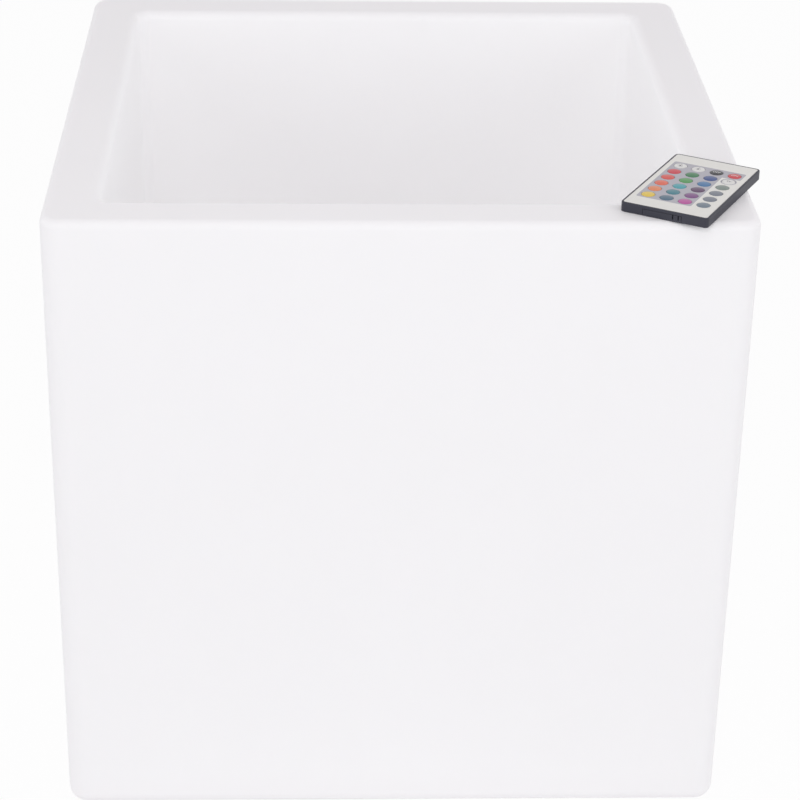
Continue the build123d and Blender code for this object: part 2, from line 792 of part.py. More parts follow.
with BuildPart() as remote_case_front:
    with BuildSketch(remote_plane.offset(case_height)):
        RectangleRounded(remote_width, remote_length, remote_corner_radius)
    extrude(amount=plate_thickness + film_thickness)
    with BuildSketch(remote_plane.offset(film_z)):
        film_bay_width = film_width + 2 * seat_clearance
        film_bay_length = film_length + 2 * seat_clearance
        RectangleRounded(film_bay_width, film_bay_length, remote_corner_radius - film_border)
    extrude(amount=film_thickness, mode=Mode.SUBTRACT)
    with BuildSketch(remote_plane.offset(case_height)):
        lip_width = case_bore_width - 2 * seat_clearance
        lip_length = case_bore_length - 2 * seat_clearance
        Rectangle(lip_width, lip_length)
        Rectangle(lip_width - 2 * case_lip_width, lip_length - 2 * case_lip_width, mode=Mode.SUBTRACT)
    extrude(amount=-case_lip_height)
    with BuildSketch(remote_plane.offset(case_height)):
        with GridLocations(key_pitch_x, key_pitch_y, key_columns, key_row_count):
            Circle(key_hole_radius)
    extrude(amount=plate_thickness, mode=Mode.SUBTRACT)
write(remote_case_front.part, "remote_case_front")

with BuildPart() as remote_overlay:
    with BuildSketch(remote_plane.offset(film_z)):
        RectangleRounded(film_width, film_length, remote_corner_radius - film_border)
        with GridLocations(key_pitch_x, key_pitch_y, key_columns, key_row_count):
            Circle(key_hole_radius, mode=Mode.SUBTRACT)
    extrude(amount=film_thickness)
write(remote_overlay.part, "remote_overlay")

# Keys, named by row from the far end and by column from the left
key_names = [
    ["brighter", "dimmer", "off", "on"],
    ["red", "green", "blue", "white"],
    ["scarlet", "light_green", "mid_blue", "flash"],
    ["coral", "cyan", "dark_purple", "strobe"],
    ["orange", "teal", "purple", "fade"],
    ["yellow", "slate_blue", "magenta", "smooth"],
]
key_crown_radius = (key_radius**2 + key_dome_height**2) / (2 * key_dome_height)
for row, names in enumerate(key_names):
    for column, name in enumerate(names):
        key_x = (column - (key_columns - 1) / 2) * key_pitch_x
        key_y = ((key_row_count - 1) / 2 - row) * key_pitch_y
        key_plane = Plane(remote_plane.location * Pos(key_x, key_y, 0))
        profile_plane = Plane(origin=key_plane.origin, x_dir=key_plane.x_dir, z_dir=-key_plane.y_dir)
        with BuildPart() as key:
            with BuildSketch(profile_plane):
                with BuildLine():
                    Polyline(
                        (0, remote_height + key_dome_height),
                        (0, key_flange_z),
                        (key_radius + key_flange, key_flange_z),
                        (key_radius + key_flange, key_flange_z + key_flange_thickness),
                        (key_radius, key_flange_z + key_flange_thickness),
                        (key_radius, remote_height),
                    )
                    RadiusArc(
                        (key_radius, remote_height),
                        (0, remote_height + key_dome_height),
                        -key_crown_radius,
                    )
                make_face()
            revolve(axis=Axis(key_plane.origin, key_plane.z_dir))
        write(key.part, f"key_{name}")

# Remote works: board, snap domes, chips and infrared lamp
with BuildPart() as remote_board:
    with BuildSketch(remote_plane.offset(remote_board_z)):
        with Locations((0, board_near_y)):
            board_width = case_bore_width - 2 * run_clearance
            Rectangle(board_width, board_far_y - board_near_y, align=(Align.CENTER, Align.MIN))
    extrude(amount=remote_board_thickness)
write(remote_board.part, "remote_board")

with BuildPart() as remote_domes:
    with BuildSketch(remote_plane.offset(dome_z)):
        with GridLocations(key_pitch_x, key_pitch_y, key_columns, key_row_count):
            Circle(dome_radius)
    extrude(amount=dome_height)
write(remote_domes.part, "remote_domes")

with BuildPart() as remote_components:
    with BuildSketch(remote_plane.offset(remote_board_z)):
        with Locations((0, key_pitch_y)):
            Rectangle(remote_chip_length, remote_chip_width)
    extrude(amount=-remote_chip_height)
    with BuildSketch(remote_plane.offset(remote_board_z)):
        with Locations((key_pitch_x, 2 * key_pitch_y)):
            Rectangle(crystal_length, crystal_width)
    extrude(amount=-crystal_height)
write(remote_components.part, "remote_components")

with BuildPart() as remote_ir_led:
    lamp_base_y = board_far_y + seat_clearance
    leg_z = remote_board_z - infrared_leg_radius
    lamp_plane = Plane(remote_plane.location * Pos(0, lamp_base_y, infrared_height) * Rot(-90, 0, 0))
    leg_plane = Plane(remote_plane.location * Pos(0, lamp_base_y, leg_z) * Rot(-90, 0, 0))
    with BuildSketch(lamp_plane):
        Circle(infrared_radius)
    extrude(amount=infrared_length)
    tip = remote_ir_led.faces().sort_by(Axis(lamp_plane.origin, lamp_plane.z_dir))[-1]
    fillet(tip.edges(), radius=infrared_tip_radius)
    with BuildSketch(leg_plane):
        with GridLocations(infrared_leg_pitch, 0, 2, 1):
            Circle(infrared_leg_radius)
    extrude(amount=-infrared_leg_length)
write(remote_ir_led.part, "remote_ir_led")

# Coin cell, its sliding tray and its contacts
with BuildPart() as remote_battery_tray:
    with BuildSketch(remote_plane.offset(tray_z)):
        with Locations((tray_x, near_end_y)):
            Rectangle(tray_width, case_wall + tray_length, align=(Align.CENTER, Align.MIN))
    extrude(amount=tray_floor + coin_thickness)
    with BuildSketch(remote_plane.offset(press_gap)):
        with Locations((tray_x, near_end_y)):
            Rectangle(tray_width, case_wall, align=(Align.CENTER, Align.MIN))
    extrude(amount=tray_front_height - press_gap)
    with BuildSketch(remote_plane.offset(coin_z)):
        with Locations((tray_x, coin_y)):
            Circle(coin_radius + seat_clearance)
        with Locations((tray_x, coin_y)):
            mouth_width = coin_contact_width + 2 * run_clearance
            Rectangle(mouth_width, tray_length, align=(Align.CENTER, Align.MIN))
    extrude(amount=coin_thickness, mode=Mode.SUBTRACT)
    with BuildSketch(remote_plane.offset(tray_front_height)):
        with Locations((tray_latch_x, near_end_y)):
            with GridLocations(tray_latch_width + tray_slot_width, 0, 2, 1):
                Rectangle(tray_slot_width, case_wall, align=(Align.CENTER, Align.MIN))
    extrude(amount=-tray_slot_height, mode=Mode.SUBTRACT)
write(remote_battery_tray.part, "remote_battery_tray")

with BuildPart() as remote_coin_cell:
    with BuildSketch(remote_plane.offset(coin_z)):
        with Locations((tray_x, coin_y)):
            Circle(coin_radius)
    extrude(amount=coin_thickness)
write(remote_coin_cell.part, "remote_coin_cell")

with BuildPart() as remote_contacts:
    with BuildSketch(remote_plane.offset(remote_board_z)):
        with Locations((tray_x, coin_y)):
            Rectangle(coin_contact_width, coin_contact_length)
    extrude(amount=-coin_contact_thickness)
    with BuildSketch(remote_plane.offset(remote_board_z)):
        with Locations((tray_x, coin_y + coin_radius + press_gap)):
            edge_alignment = (Align.CENTER, Align.MIN)
            Rectangle(coin_contact_width, edge_contact_thickness, align=edge_alignment)
    extrude(amount=-edge_contact_height)
write(remote_contacts.part, "remote_contacts")
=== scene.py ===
import json
import logging
from dataclasses import dataclass
from enum import Enum
from math import atan2, cos, pi, radians, sin
from typing import Any, Callable, Sequence

import bmesh
import bpy
from mathutils import Matrix, Vector


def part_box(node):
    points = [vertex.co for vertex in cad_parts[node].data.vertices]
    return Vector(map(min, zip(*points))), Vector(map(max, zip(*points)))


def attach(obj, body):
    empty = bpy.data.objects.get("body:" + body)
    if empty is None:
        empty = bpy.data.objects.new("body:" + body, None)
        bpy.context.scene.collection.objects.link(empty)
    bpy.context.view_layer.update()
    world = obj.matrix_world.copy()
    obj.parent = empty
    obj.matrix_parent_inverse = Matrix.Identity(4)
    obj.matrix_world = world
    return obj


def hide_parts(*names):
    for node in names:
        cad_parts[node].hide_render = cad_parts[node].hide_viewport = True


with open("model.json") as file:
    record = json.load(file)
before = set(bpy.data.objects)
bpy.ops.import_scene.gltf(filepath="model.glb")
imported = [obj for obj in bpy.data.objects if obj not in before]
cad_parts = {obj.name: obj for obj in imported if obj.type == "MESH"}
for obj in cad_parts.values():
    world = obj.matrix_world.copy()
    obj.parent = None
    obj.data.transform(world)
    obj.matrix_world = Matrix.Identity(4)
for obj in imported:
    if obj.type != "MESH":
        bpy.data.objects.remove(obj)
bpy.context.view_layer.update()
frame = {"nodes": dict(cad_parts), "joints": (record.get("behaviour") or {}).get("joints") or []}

# Looks of a light-up cube table: a milky moulded cube with an open basin in its top, a light module
# closed into its underside, and a slim colour remote lying over the front right corner of its rim.
# Metres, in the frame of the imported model.

LOG = logging.getLogger("cube_table")
MM = 0.001

# Sockets of a colour Mix node, whose names repeat for each kind of value
MIX_FACTOR, MIX_FIRST, MIX_SECOND, MIX_RESULT = 0, 6, 7, 2

# Sides of a round piece, by its size
BROAD_ROUND, PLAIN_ROUND, SMALL_ROUND, TINY_ROUND, DOT_ROUND = 128, 64, 48, 32, 24
# Steps round a ring and round its section
RING_STEPS, SECTION_STEPS = 72, 12
# Largest angle, in degrees, between faces that are shaded as one surface
CRISP, PLAIN, DOMED, FULL_ROUND = 30.0, 40.0, 50.0, 80.0
# Least upright share of a normal that counts as facing up or down
FACING = 0.9
# How far large faces outweigh small ones in the shading, where 50 is even
FLAT_WEIGHT = 80
# Values that most of a noise texture lies between, and the least roughness of any surface
GRAIN_LOW, GRAIN_HIGH, LEAST_ROUGH = 0.3, 0.7, 0.02
# Layers of noise in the patches, the grain and the swell of a surface
PATCH_DETAIL, GRAIN_DETAIL, SWELL_DETAIL = 3.0, 2.0, 1.0
# Darker patches of key ink, as a share of its own tone
KEY_SHADE = 0.93

Triple = tuple[float, float, float]
Span = tuple[Any, Any]
Tree = bpy.types.NodeTree
Node = bpy.types.Node
Socket = bpy.types.NodeSocket


class Joinery(Enum):
    """How one workpiece acts on another."""

    CUT = "DIFFERENCE"
    FUSE = "UNION"


class Pick(Enum):
    """What is picked in edit mode."""

    FACE = "FACE"
    EDGE = "EDGE"


class Mark(Enum):
    """What is printed on a key of the remote."""

    BARE = "bare"
    WORD = "word"
    SUN_UP = "sun and arrow up"
    SUN_DOWN = "sun and arrow down"


def linear(hex_colour: str) -> tuple[float, float, float, float]:
    """Turn an sRGB hex colour into linear light.

    Args:
        hex_colour: Six hex digits after a hash sign.

    Returns:
        Red, green, blue and an alpha of one.
    """
    parts = [int(hex_colour[i : i + 2], 16) / 255 for i in (1, 3, 5)]
    red, green, blue = [c / 12.92 if c <= 0.04045 else ((c + 0.055) / 1.055) ** 2.4 for c in parts]
    return red, green, blue, 1.0


def per_metre(size_mm: float) -> float:
    """Texture scale that gives a pattern of this size in millimetres."""
    return 1.0 / (size_mm * MM)


def add_node(
    tree: Tree, kind: str, sockets: dict[Any, Any] | None = None, **settings: Any
) -> Node:
    """Add a node with its settings, input values and links.

    Args:
        tree: The node tree that gets the node.
        kind: Blender's name of the node type.
        sockets: Inputs by name or index; an output socket is linked, anything else is set.
        settings: Properties of the node itself.

    Returns:
        The new node.
    """
    node = tree.nodes.new(kind)
    for name, value in settings.items():
        setattr(node, name, value)
    for key, value in (sockets or {}).items():
        if isinstance(value, Socket):
            tree.links.new(value, node.inputs[key])
        else:
            node.inputs[key].default_value = value
    return node


def noise(tree: Tree, place: Socket, size_mm: float, detail: float) -> Socket:
    """Return soft noise whose features have this size in millimetres."""
    spread = {"Vector": place, "Scale": per_metre(size_mm), "Detail": detail}
    return add_node(tree, "ShaderNodeTexNoise", spread).outputs["Fac"]


def remap(tree: Tree, value: Socket, start: Span, end: Span = (0.0, 1.0)) -> Socket:
    """Return a value carried over from one span to another, and held at its ends."""
    sockets = {"Value": value, "From Min": start[0], "From Max": start[1]}
    sockets.update({"To Min": end[0], "To Max": end[1]})
    return add_node(tree, "ShaderNodeMapRange", sockets).outputs["Result"]


def mix_tones(tree: Tree, factor: Socket, first: Any, second: Any) -> Socket:
    """Return a colour that goes from the first to the second as the factor rises."""
    sockets = {MIX_FACTOR: factor, MIX_FIRST: first, MIX_SECOND: second}
    return add_node(tree, "ShaderNodeMix", sockets, data_type="RGBA").outputs[MIX_RESULT]


def scalar_math(tree: Tree, operation: str, *values: Any) -> Socket:
    """Return what an operation makes of these numbers."""
    return add_node(tree, "ShaderNodeMath", dict(enumerate(values)), operation=operation).outputs[0]


def layer(tree: Tree, factor: Socket, first: Node, second: Node) -> Node:
    """Return a shader that goes from the first to the second as the factor rises."""
    sockets = {0: factor, 1: first.outputs[0], 2: second.outputs[0]}
    return add_node(tree, "ShaderNodeMixShader", sockets)


def vector_math(tree: Tree, operation: str, *values: Any) -> Socket:
    """Return what an operation makes of these vectors: a number for a length, or else a vector."""
    node = add_node(tree, "ShaderNodeVectorMath", dict(enumerate(values)), operation=operation)
    return node.outputs["Value" if operation == "LENGTH" else "Vector"]


def seen_directly(tree: Tree) -> Socket:
    """Return a socket that is one for rays that show the backdrop, straight or by reflection."""
    path = add_node(tree, "ShaderNodeLightPath").outputs
    mirrored = scalar_math(tree, "MAXIMUM", path["Is Glossy Ray"], path["Is Transmission Ray"])
    return scalar_math(tree, "MAXIMUM", path["Is Camera Ray"], mirrored)


@dataclass(frozen=True)
class Finish:
    """A moulded or coated surface: two near tones in soft patches, and a fine grain."""

    name: str
    light: str
    dark: str
    roughness: float
    patch_mm: float
    grain_mm: float
    relief_mm: float
    rough_spread: float = 0.06
    ior: float = 1.5
    metallic: float = 0.0
    coat: float = 0.0
    transmission: float = 0.0

    def material(self) -> bpy.types.Material:
        """Return this finish as a material, made the first time it is asked for."""
        found = bpy.data.materials.get(self.name)
        if found is not None:
            return found
        made = bpy.data.materials.new(self.name)
        made.use_nodes = True
        made.diffuse_color = linear(self.light)
        tree = made.node_tree
        tree.nodes.clear()
        even = {"Metallic": self.metallic, "IOR": self.ior, "Coat Weight": self.coat}
        even["Transmission Weight"] = self.transmission
        shader = add_node(tree, "ShaderNodeBsdfPrincipled", even)
        add_node(tree, "ShaderNodeOutputMaterial", {"Surface": shader.outputs["BSDF"]})
        place = add_node(tree, "ShaderNodeTexCoord").outputs["Object"]
        self.paint(tree, shader, place)
        return made

    def paint(self, tree: Tree, shader: Node, place: Socket) -> None:
        """Lay the colour and the relief of the surface.

        Args:
            tree: The material's nodes.
            shader: The Principled node that they feed.
            place: Object coordinates.
        """
        tree.links.new(self.tones(tree, place), shader.inputs["Base Color"])
        self.relief(tree, shader, place)

    def tones(self, tree: Tree, place: Socket) -> Socket:
        """Return the colour: soft patches between the two tones."""
        patches = noise(tree, place, self.patch_mm, PATCH_DETAIL)
        return mix_tones(tree, patches, linear(self.dark), linear(self.light))

    def relief(self, tree: Tree, shader: Node, place: Socket) -> None:
        """Give the surface its grain, in its roughness and as fine bumps."""
        grain = noise(tree, place, self.grain_mm, GRAIN_DETAIL)
        low = max(self.roughness - self.rough_spread, LEAST_ROUGH)
        high = min(self.roughness + self.rough_spread, 1.0)
        rough = remap(tree, grain, (GRAIN_LOW, GRAIN_HIGH), (low, high))
        tree.links.new(rough, shader.inputs["Roughness"])
        bump = add_node(tree, "ShaderNodeBump", {"Height": grain, "Distance": self.relief_mm * MM})
        tree.links.new(bump.outputs["Normal"], shader.inputs["Normal"])


@dataclass(frozen=True)
class MilkyPolyethylene(Finish):
    """Polyethylene moulded in a turning mould: satin, cloudy, faintly wavy like orange peel."""

    scatter_mm: float = 3.0
    scatter_reach: Triple = (1.0, 0.95, 0.92)
    scatter_weight: float = 0.1
    swell_mm: float = 70.0
    swell_height_mm: float = 0.25

    def relief(self, tree: Tree, shader: Node, place: Socket) -> None:
        """Add the slow swell of a moulded wall under the orange peel, and the scatter within it."""
        shader.inputs["Subsurface Weight"].default_value = self.scatter_weight
        shader.inputs["Subsurface Radius"].default_value = self.scatter_reach
        shader.inputs["Subsurface Scale"].default_value = self.scatter_mm * MM
        super().relief(tree, shader, place)
        swell = noise(tree, place, self.swell_mm, SWELL_DETAIL)
        peel = shader.inputs["Normal"].links[0].from_socket
        rise = {"Height": swell, "Distance": self.swell_height_mm * MM, "Normal": peel}
        bump = add_node(tree, "ShaderNodeBump", rise)
        tree.links.new(bump.outputs["Normal"], shader.inputs["Normal"])


@dataclass(frozen=True)
class DrawnMetal(Finish):
    """Metal with fine parallel draw lines: the grain is stretched along one way."""

    metallic: float = 1.0
    stretch: Triple = (0.05, 1.0, 1.0)

    def relief(self, tree: Tree, shader: Node, place: Socket) -> None:
        """Stretch the grain into lines before it makes roughness and bumps."""
        drawn = add_node(tree, "ShaderNodeMapping", {"Vector": place, "Scale": self.stretch})
        super().relief(tree, shader, drawn.outputs["Vector"])


@dataclass(frozen=True)
class BoardLacquer(Finish):
    """Lacquered circuit board: square pads of another tone show through."""

    pad: str = "#3F8A50"
    pad_pitch_mm: float = 4.0
    pad_share: float = 0.16
    pad_blur: float = 1.3
    pad_jumble: float = 0.6

    def tones(self, tree: Tree, place: Socket) -> Socket:
        """Draw the pads round the middles of square cells, and lacquer between them."""
        cells = {"Vector": place, "Scale": per_metre(self.pad_pitch_mm)}
        cells["Randomness"] = self.pad_jumble
        maze = add_node(tree, "ShaderNodeTexVoronoi", cells, distance="CHEBYCHEV", feature="F1")
        edge = (self.pad_share, self.pad_share * self.pad_blur)
        lacquered = remap(tree, maze.outputs["Distance"], edge)
        return mix_tones(tree, lacquered, linear(self.pad), super().tones(tree, place))


@dataclass(frozen=True)
class PrintedFilm(Finish):
    """Satin polyester film printed from behind: a pale ground with grey fields round the keys."""

    field_tone: str = "#B3B2BA"
    centre: Triple = (0.0, 0.0, 0.0)
    turn: float = 0.0
    fields: tuple[tuple[float, float, float, float, float], ...] = ()
    edge_mm: float = 0.12

    def tones(self, tree: Tree, place: Socket) -> Socket:
        """Print the grey fields on the pale ground, each a box with rounded corners."""
        pose = {"Vector": place, "Location": self.centre, "Rotation": (0.0, 0.0, self.turn)}
        local = add_node(tree, "ShaderNodeMapping", pose, vector_type="TEXTURE").outputs["Vector"]
        flat = vector_math(tree, "MULTIPLY", local, (1.0, 1.0, 0.0))
        colour = super().tones(tree, place)
        for left, low, right, high, corner in self.fields:
            middle = ((left + right) / 2, (low + high) / 2, 0.0)
            half = ((right - left) / 2 - corner, (high - low) / 2 - corner, 0.0)
            away = vector_math(tree, "ABSOLUTE", vector_math(tree, "SUBTRACT", flat, middle))
            outside = vector_math(tree, "MAXIMUM", vector_math(tree, "SUBTRACT", away, half))
            reach = vector_math(tree, "LENGTH", outside)
            ground = remap(tree, reach, (corner, corner + self.edge_mm * MM))
            colour = mix_tones(tree, ground, linear(self.field_tone), colour)
        return colour


# Rotationally moulded polyethylene: cloudy white, satin, soft in its shadows
POLYETHYLENE = MilkyPolyethylene(
    "moulded_polyethylene", "#FEFEFE", "#FCFCFC",
    roughness=0.68, patch_mm=60.0, grain_mm=2.6, relief_mm=0.010,
)
# Moulded rubber: dark, matt, dusty in its grain
FOOT_RUBBER = Finish(
    "moulded_rubber", "#47474A", "#38383B",
    roughness=0.82, patch_mm=6.0, grain_mm=0.7, relief_mm=0.03,
)
# Injection moulded ABS housing: off-white, fine spark-eroded grain
HOUSING_ABS = Finish(
    "moulded_abs", "#E9E9E8", "#E1E1E1",
    roughness=0.48, patch_mm=25.0, grain_mm=0.6, relief_mm=0.012,
)
# Frosted polycarbonate: pale, passes light, no clear view through it
FROSTED_LENS = Finish(
    "frosted_polycarbonate", "#EDEDED", "#E3E3E3",
    roughness=0.55, patch_mm=12.0, grain_mm=0.5, relief_mm=0.01, transmission=0.35,
)
# Turned brass: warm yellow with turning marks
BRASS = DrawnMetal(
    "turned_brass", "#D2AE62", "#B8924A",
    roughness=0.28, patch_mm=2.0, grain_mm=0.4, relief_mm=0.006,
)
# Zinc plated steel: cool grey, bright, faintly cloudy
ZINC_STEEL = DrawnMetal(
    "zinc_plated_steel", "#C3C6CA", "#A9ADB2",
    roughness=0.3, patch_mm=1.5, grain_mm=0.3, relief_mm=0.004,
)
# Rolled spring steel: bright with roll lines
SPRING_STEEL = DrawnMetal(
    "rolled_spring_steel", "#C9C9C6", "#B2B2AE",
    roughness=0.24, patch_mm=3.0, grain_mm=0.3, relief_mm=0.003,
)
# Coin cell can: stamped stainless steel, brighter than the springs
COIN_STEEL = DrawnMetal(
    "stamped_stainless_steel", "#D0D0CE", "#BDBDBB",
    roughness=0.2, patch_mm=4.0, grain_mm=0.35, relief_mm=0.003,
)
# White lacquer on an aluminium core board: pale pads just show
LAMP_BOARD = BoardLacquer(
    "white_board_lacquer", "#E8E8E4", "#DEDED9",
    roughness=0.38, patch_mm=9.0, grain_mm=0.8, relief_mm=0.004, pad="#CFCFC9",
)
# Green lacquer on glass fibre laminate
GREEN_BOARD = BoardLacquer(
    "green_board_lacquer", "#1F6A3A", "#185530",
    roughness=0.34, patch_mm=7.0, grain_mm=0.6, relief_mm=0.006,
)
# Bare paper laminate with dark carbon pads
BROWN_BOARD = BoardLacquer(
    "brown_paper_laminate", "#8A6236", "#74502A",
    roughness=0.5, patch_mm=6.0, grain_mm=0.5, relief_mm=0.008, pad="#4A3520",
)
# Lamp chip: clear resin over a yellow phosphor
LAMP_RESIN = Finish(
    "phosphor_resin", "#E9D982", "#DCC763",
    roughness=0.2, patch_mm=1.6, grain_mm=0.5, relief_mm=0.004, transmission=0.2,
)
# Black nylon of switches, sockets and holders
BLACK_NYLON = Finish(
    "moulded_black_nylon", "#2C2C2E", "#232325",
    roughness=0.46, patch_mm=5.0, grain_mm=0.5, relief_mm=0.01,
)
# Shrink sleeve of the round cells: blue, glossy, a little wavy
CELL_SLEEVE = Finish(
    "shrink_sleeve", "#2F5E9E", "#274F88",
    roughness=0.26, patch_mm=10.0, grain_mm=5.0, relief_mm=0.05, coat=0.3,
)
# Soft vinyl on the leads
RED_VINYL = Finish(
    "red_vinyl", "#B02A2A", "#992222",
    roughness=0.4, patch_mm=3.0, grain_mm=0.5, relief_mm=0.01,
)
WHITE_VINYL = Finish(
    "white_vinyl", "#E2E2DE", "#D3D3CE",
    roughness=0.4, patch_mm=3.0, grain_mm=0.5, relief_mm=0.01,
)
# Tinted clear resin of the status lamp
GREEN_RESIN = Finish(
    "green_resin", "#8CCB8F", "#74B878",
    roughness=0.16, patch_mm=1.5, grain_mm=0.6, relief_mm=0.004, transmission=0.5,
)
# Water-clear resin of the infrared lamp
CLEAR_RESIN = Finish(
    "clear_resin", "#C9C9CF", "#BCBCC3",
    roughness=0.14, patch_mm=1.5, grain_mm=0.6, relief_mm=0.004, transmission=0.6,
)
# Injection moulded black ABS of the remote: charcoal, fine matt grain that catches the light
REMOTE_ABS = Finish(
    "moulded_black_abs", "#323340", "#2B2C38",
    roughness=0.5, patch_mm=8.0, grain_mm=0.35, relief_mm=0.012,
)
# Print on the keys: opaque ink
WHITE_INK = Finish(
    "white_ink", "#EDEDED", "#E2E2E2",
    roughness=0.5, patch_mm=0.8, grain_mm=0.3, relief_mm=0.002,
)
GREY_INK = Finish(
    "grey_ink", "#6E6E74", "#626268",
    roughness=0.5, patch_mm=0.8, grain_mm=0.3, relief_mm=0.002,
)
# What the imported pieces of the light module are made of
MODULE_FINISHES = {
    "module_base": HOUSING_ABS,
    "module_gasket": FOOT_RUBBER,
    "module_screws": ZINC_STEEL,
    "module_lens": FROSTED_LENS,
    "led_board": LAMP_BOARD,
    "leds": LAMP_RESIN,
    "board_components": BLACK_NYLON,
    "ir_receiver": BLACK_NYLON,
    "board_screws": ZINC_STEEL,
    "control_board": GREEN_BOARD,
    "power_switch": BLACK_NYLON,
    "charge_socket": BLACK_NYLON,
    "status_light": GREEN_RESIN,
    "lamp_leads": WHITE_VINYL,
    "power_button": FOOT_RUBBER,
    "charge_bung": FOOT_RUBBER,
    "battery_holder": BLACK_NYLON,
    "battery_cells": CELL_SLEEVE,
    "battery_contacts": SPRING_STEEL,
    "battery_leads": RED_VINYL,
    "battery_cover": HOUSING_ABS,
    "battery_cover_screws": ZINC_STEEL,
}
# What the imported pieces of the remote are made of
REMOTE_FINISHES = {
    "remote_case_back": REMOTE_ABS,
    "remote_board": BROWN_BOARD,
    "remote_domes": SPRING_STEEL,
    "remote_components": BLACK_NYLON,
    "remote_ir_led": CLEAR_RESIN,
    "remote_battery_tray": REMOTE_ABS,
    "remote_coin_cell": COIN_STEEL,
    "remote_contacts": SPRING_STEEL,
}


def key_ink(name: str, tone: str) -> Finish:
    """Return the finish of one key: translucent ink under embossed satin film, with a soft gloss.

    Args:
        name: The key's name.
        tone: Its colour as sRGB hex.

    Returns:
        The finish, a shade darker in soft patches.
    """
    shade = "#" + "".join(f"{int(int(tone[i:i + 2], 16) * KEY_SHADE):02X}" for i in (1, 3, 5))
    return Finish(
        f"key_film_{name}", tone, shade,
        roughness=0.36, patch_mm=2.2, grain_mm=0.4, relief_mm=0.004, coat=0.06,
    )


def clear_bench() -> None:
    """Leave edit mode and deselect everything, so that an operator acts on its own piece only."""
    if bpy.context.mode != "OBJECT":
        bpy.ops.object.mode_set(mode="OBJECT")
    bpy.ops.object.select_all(action="DESELECT")


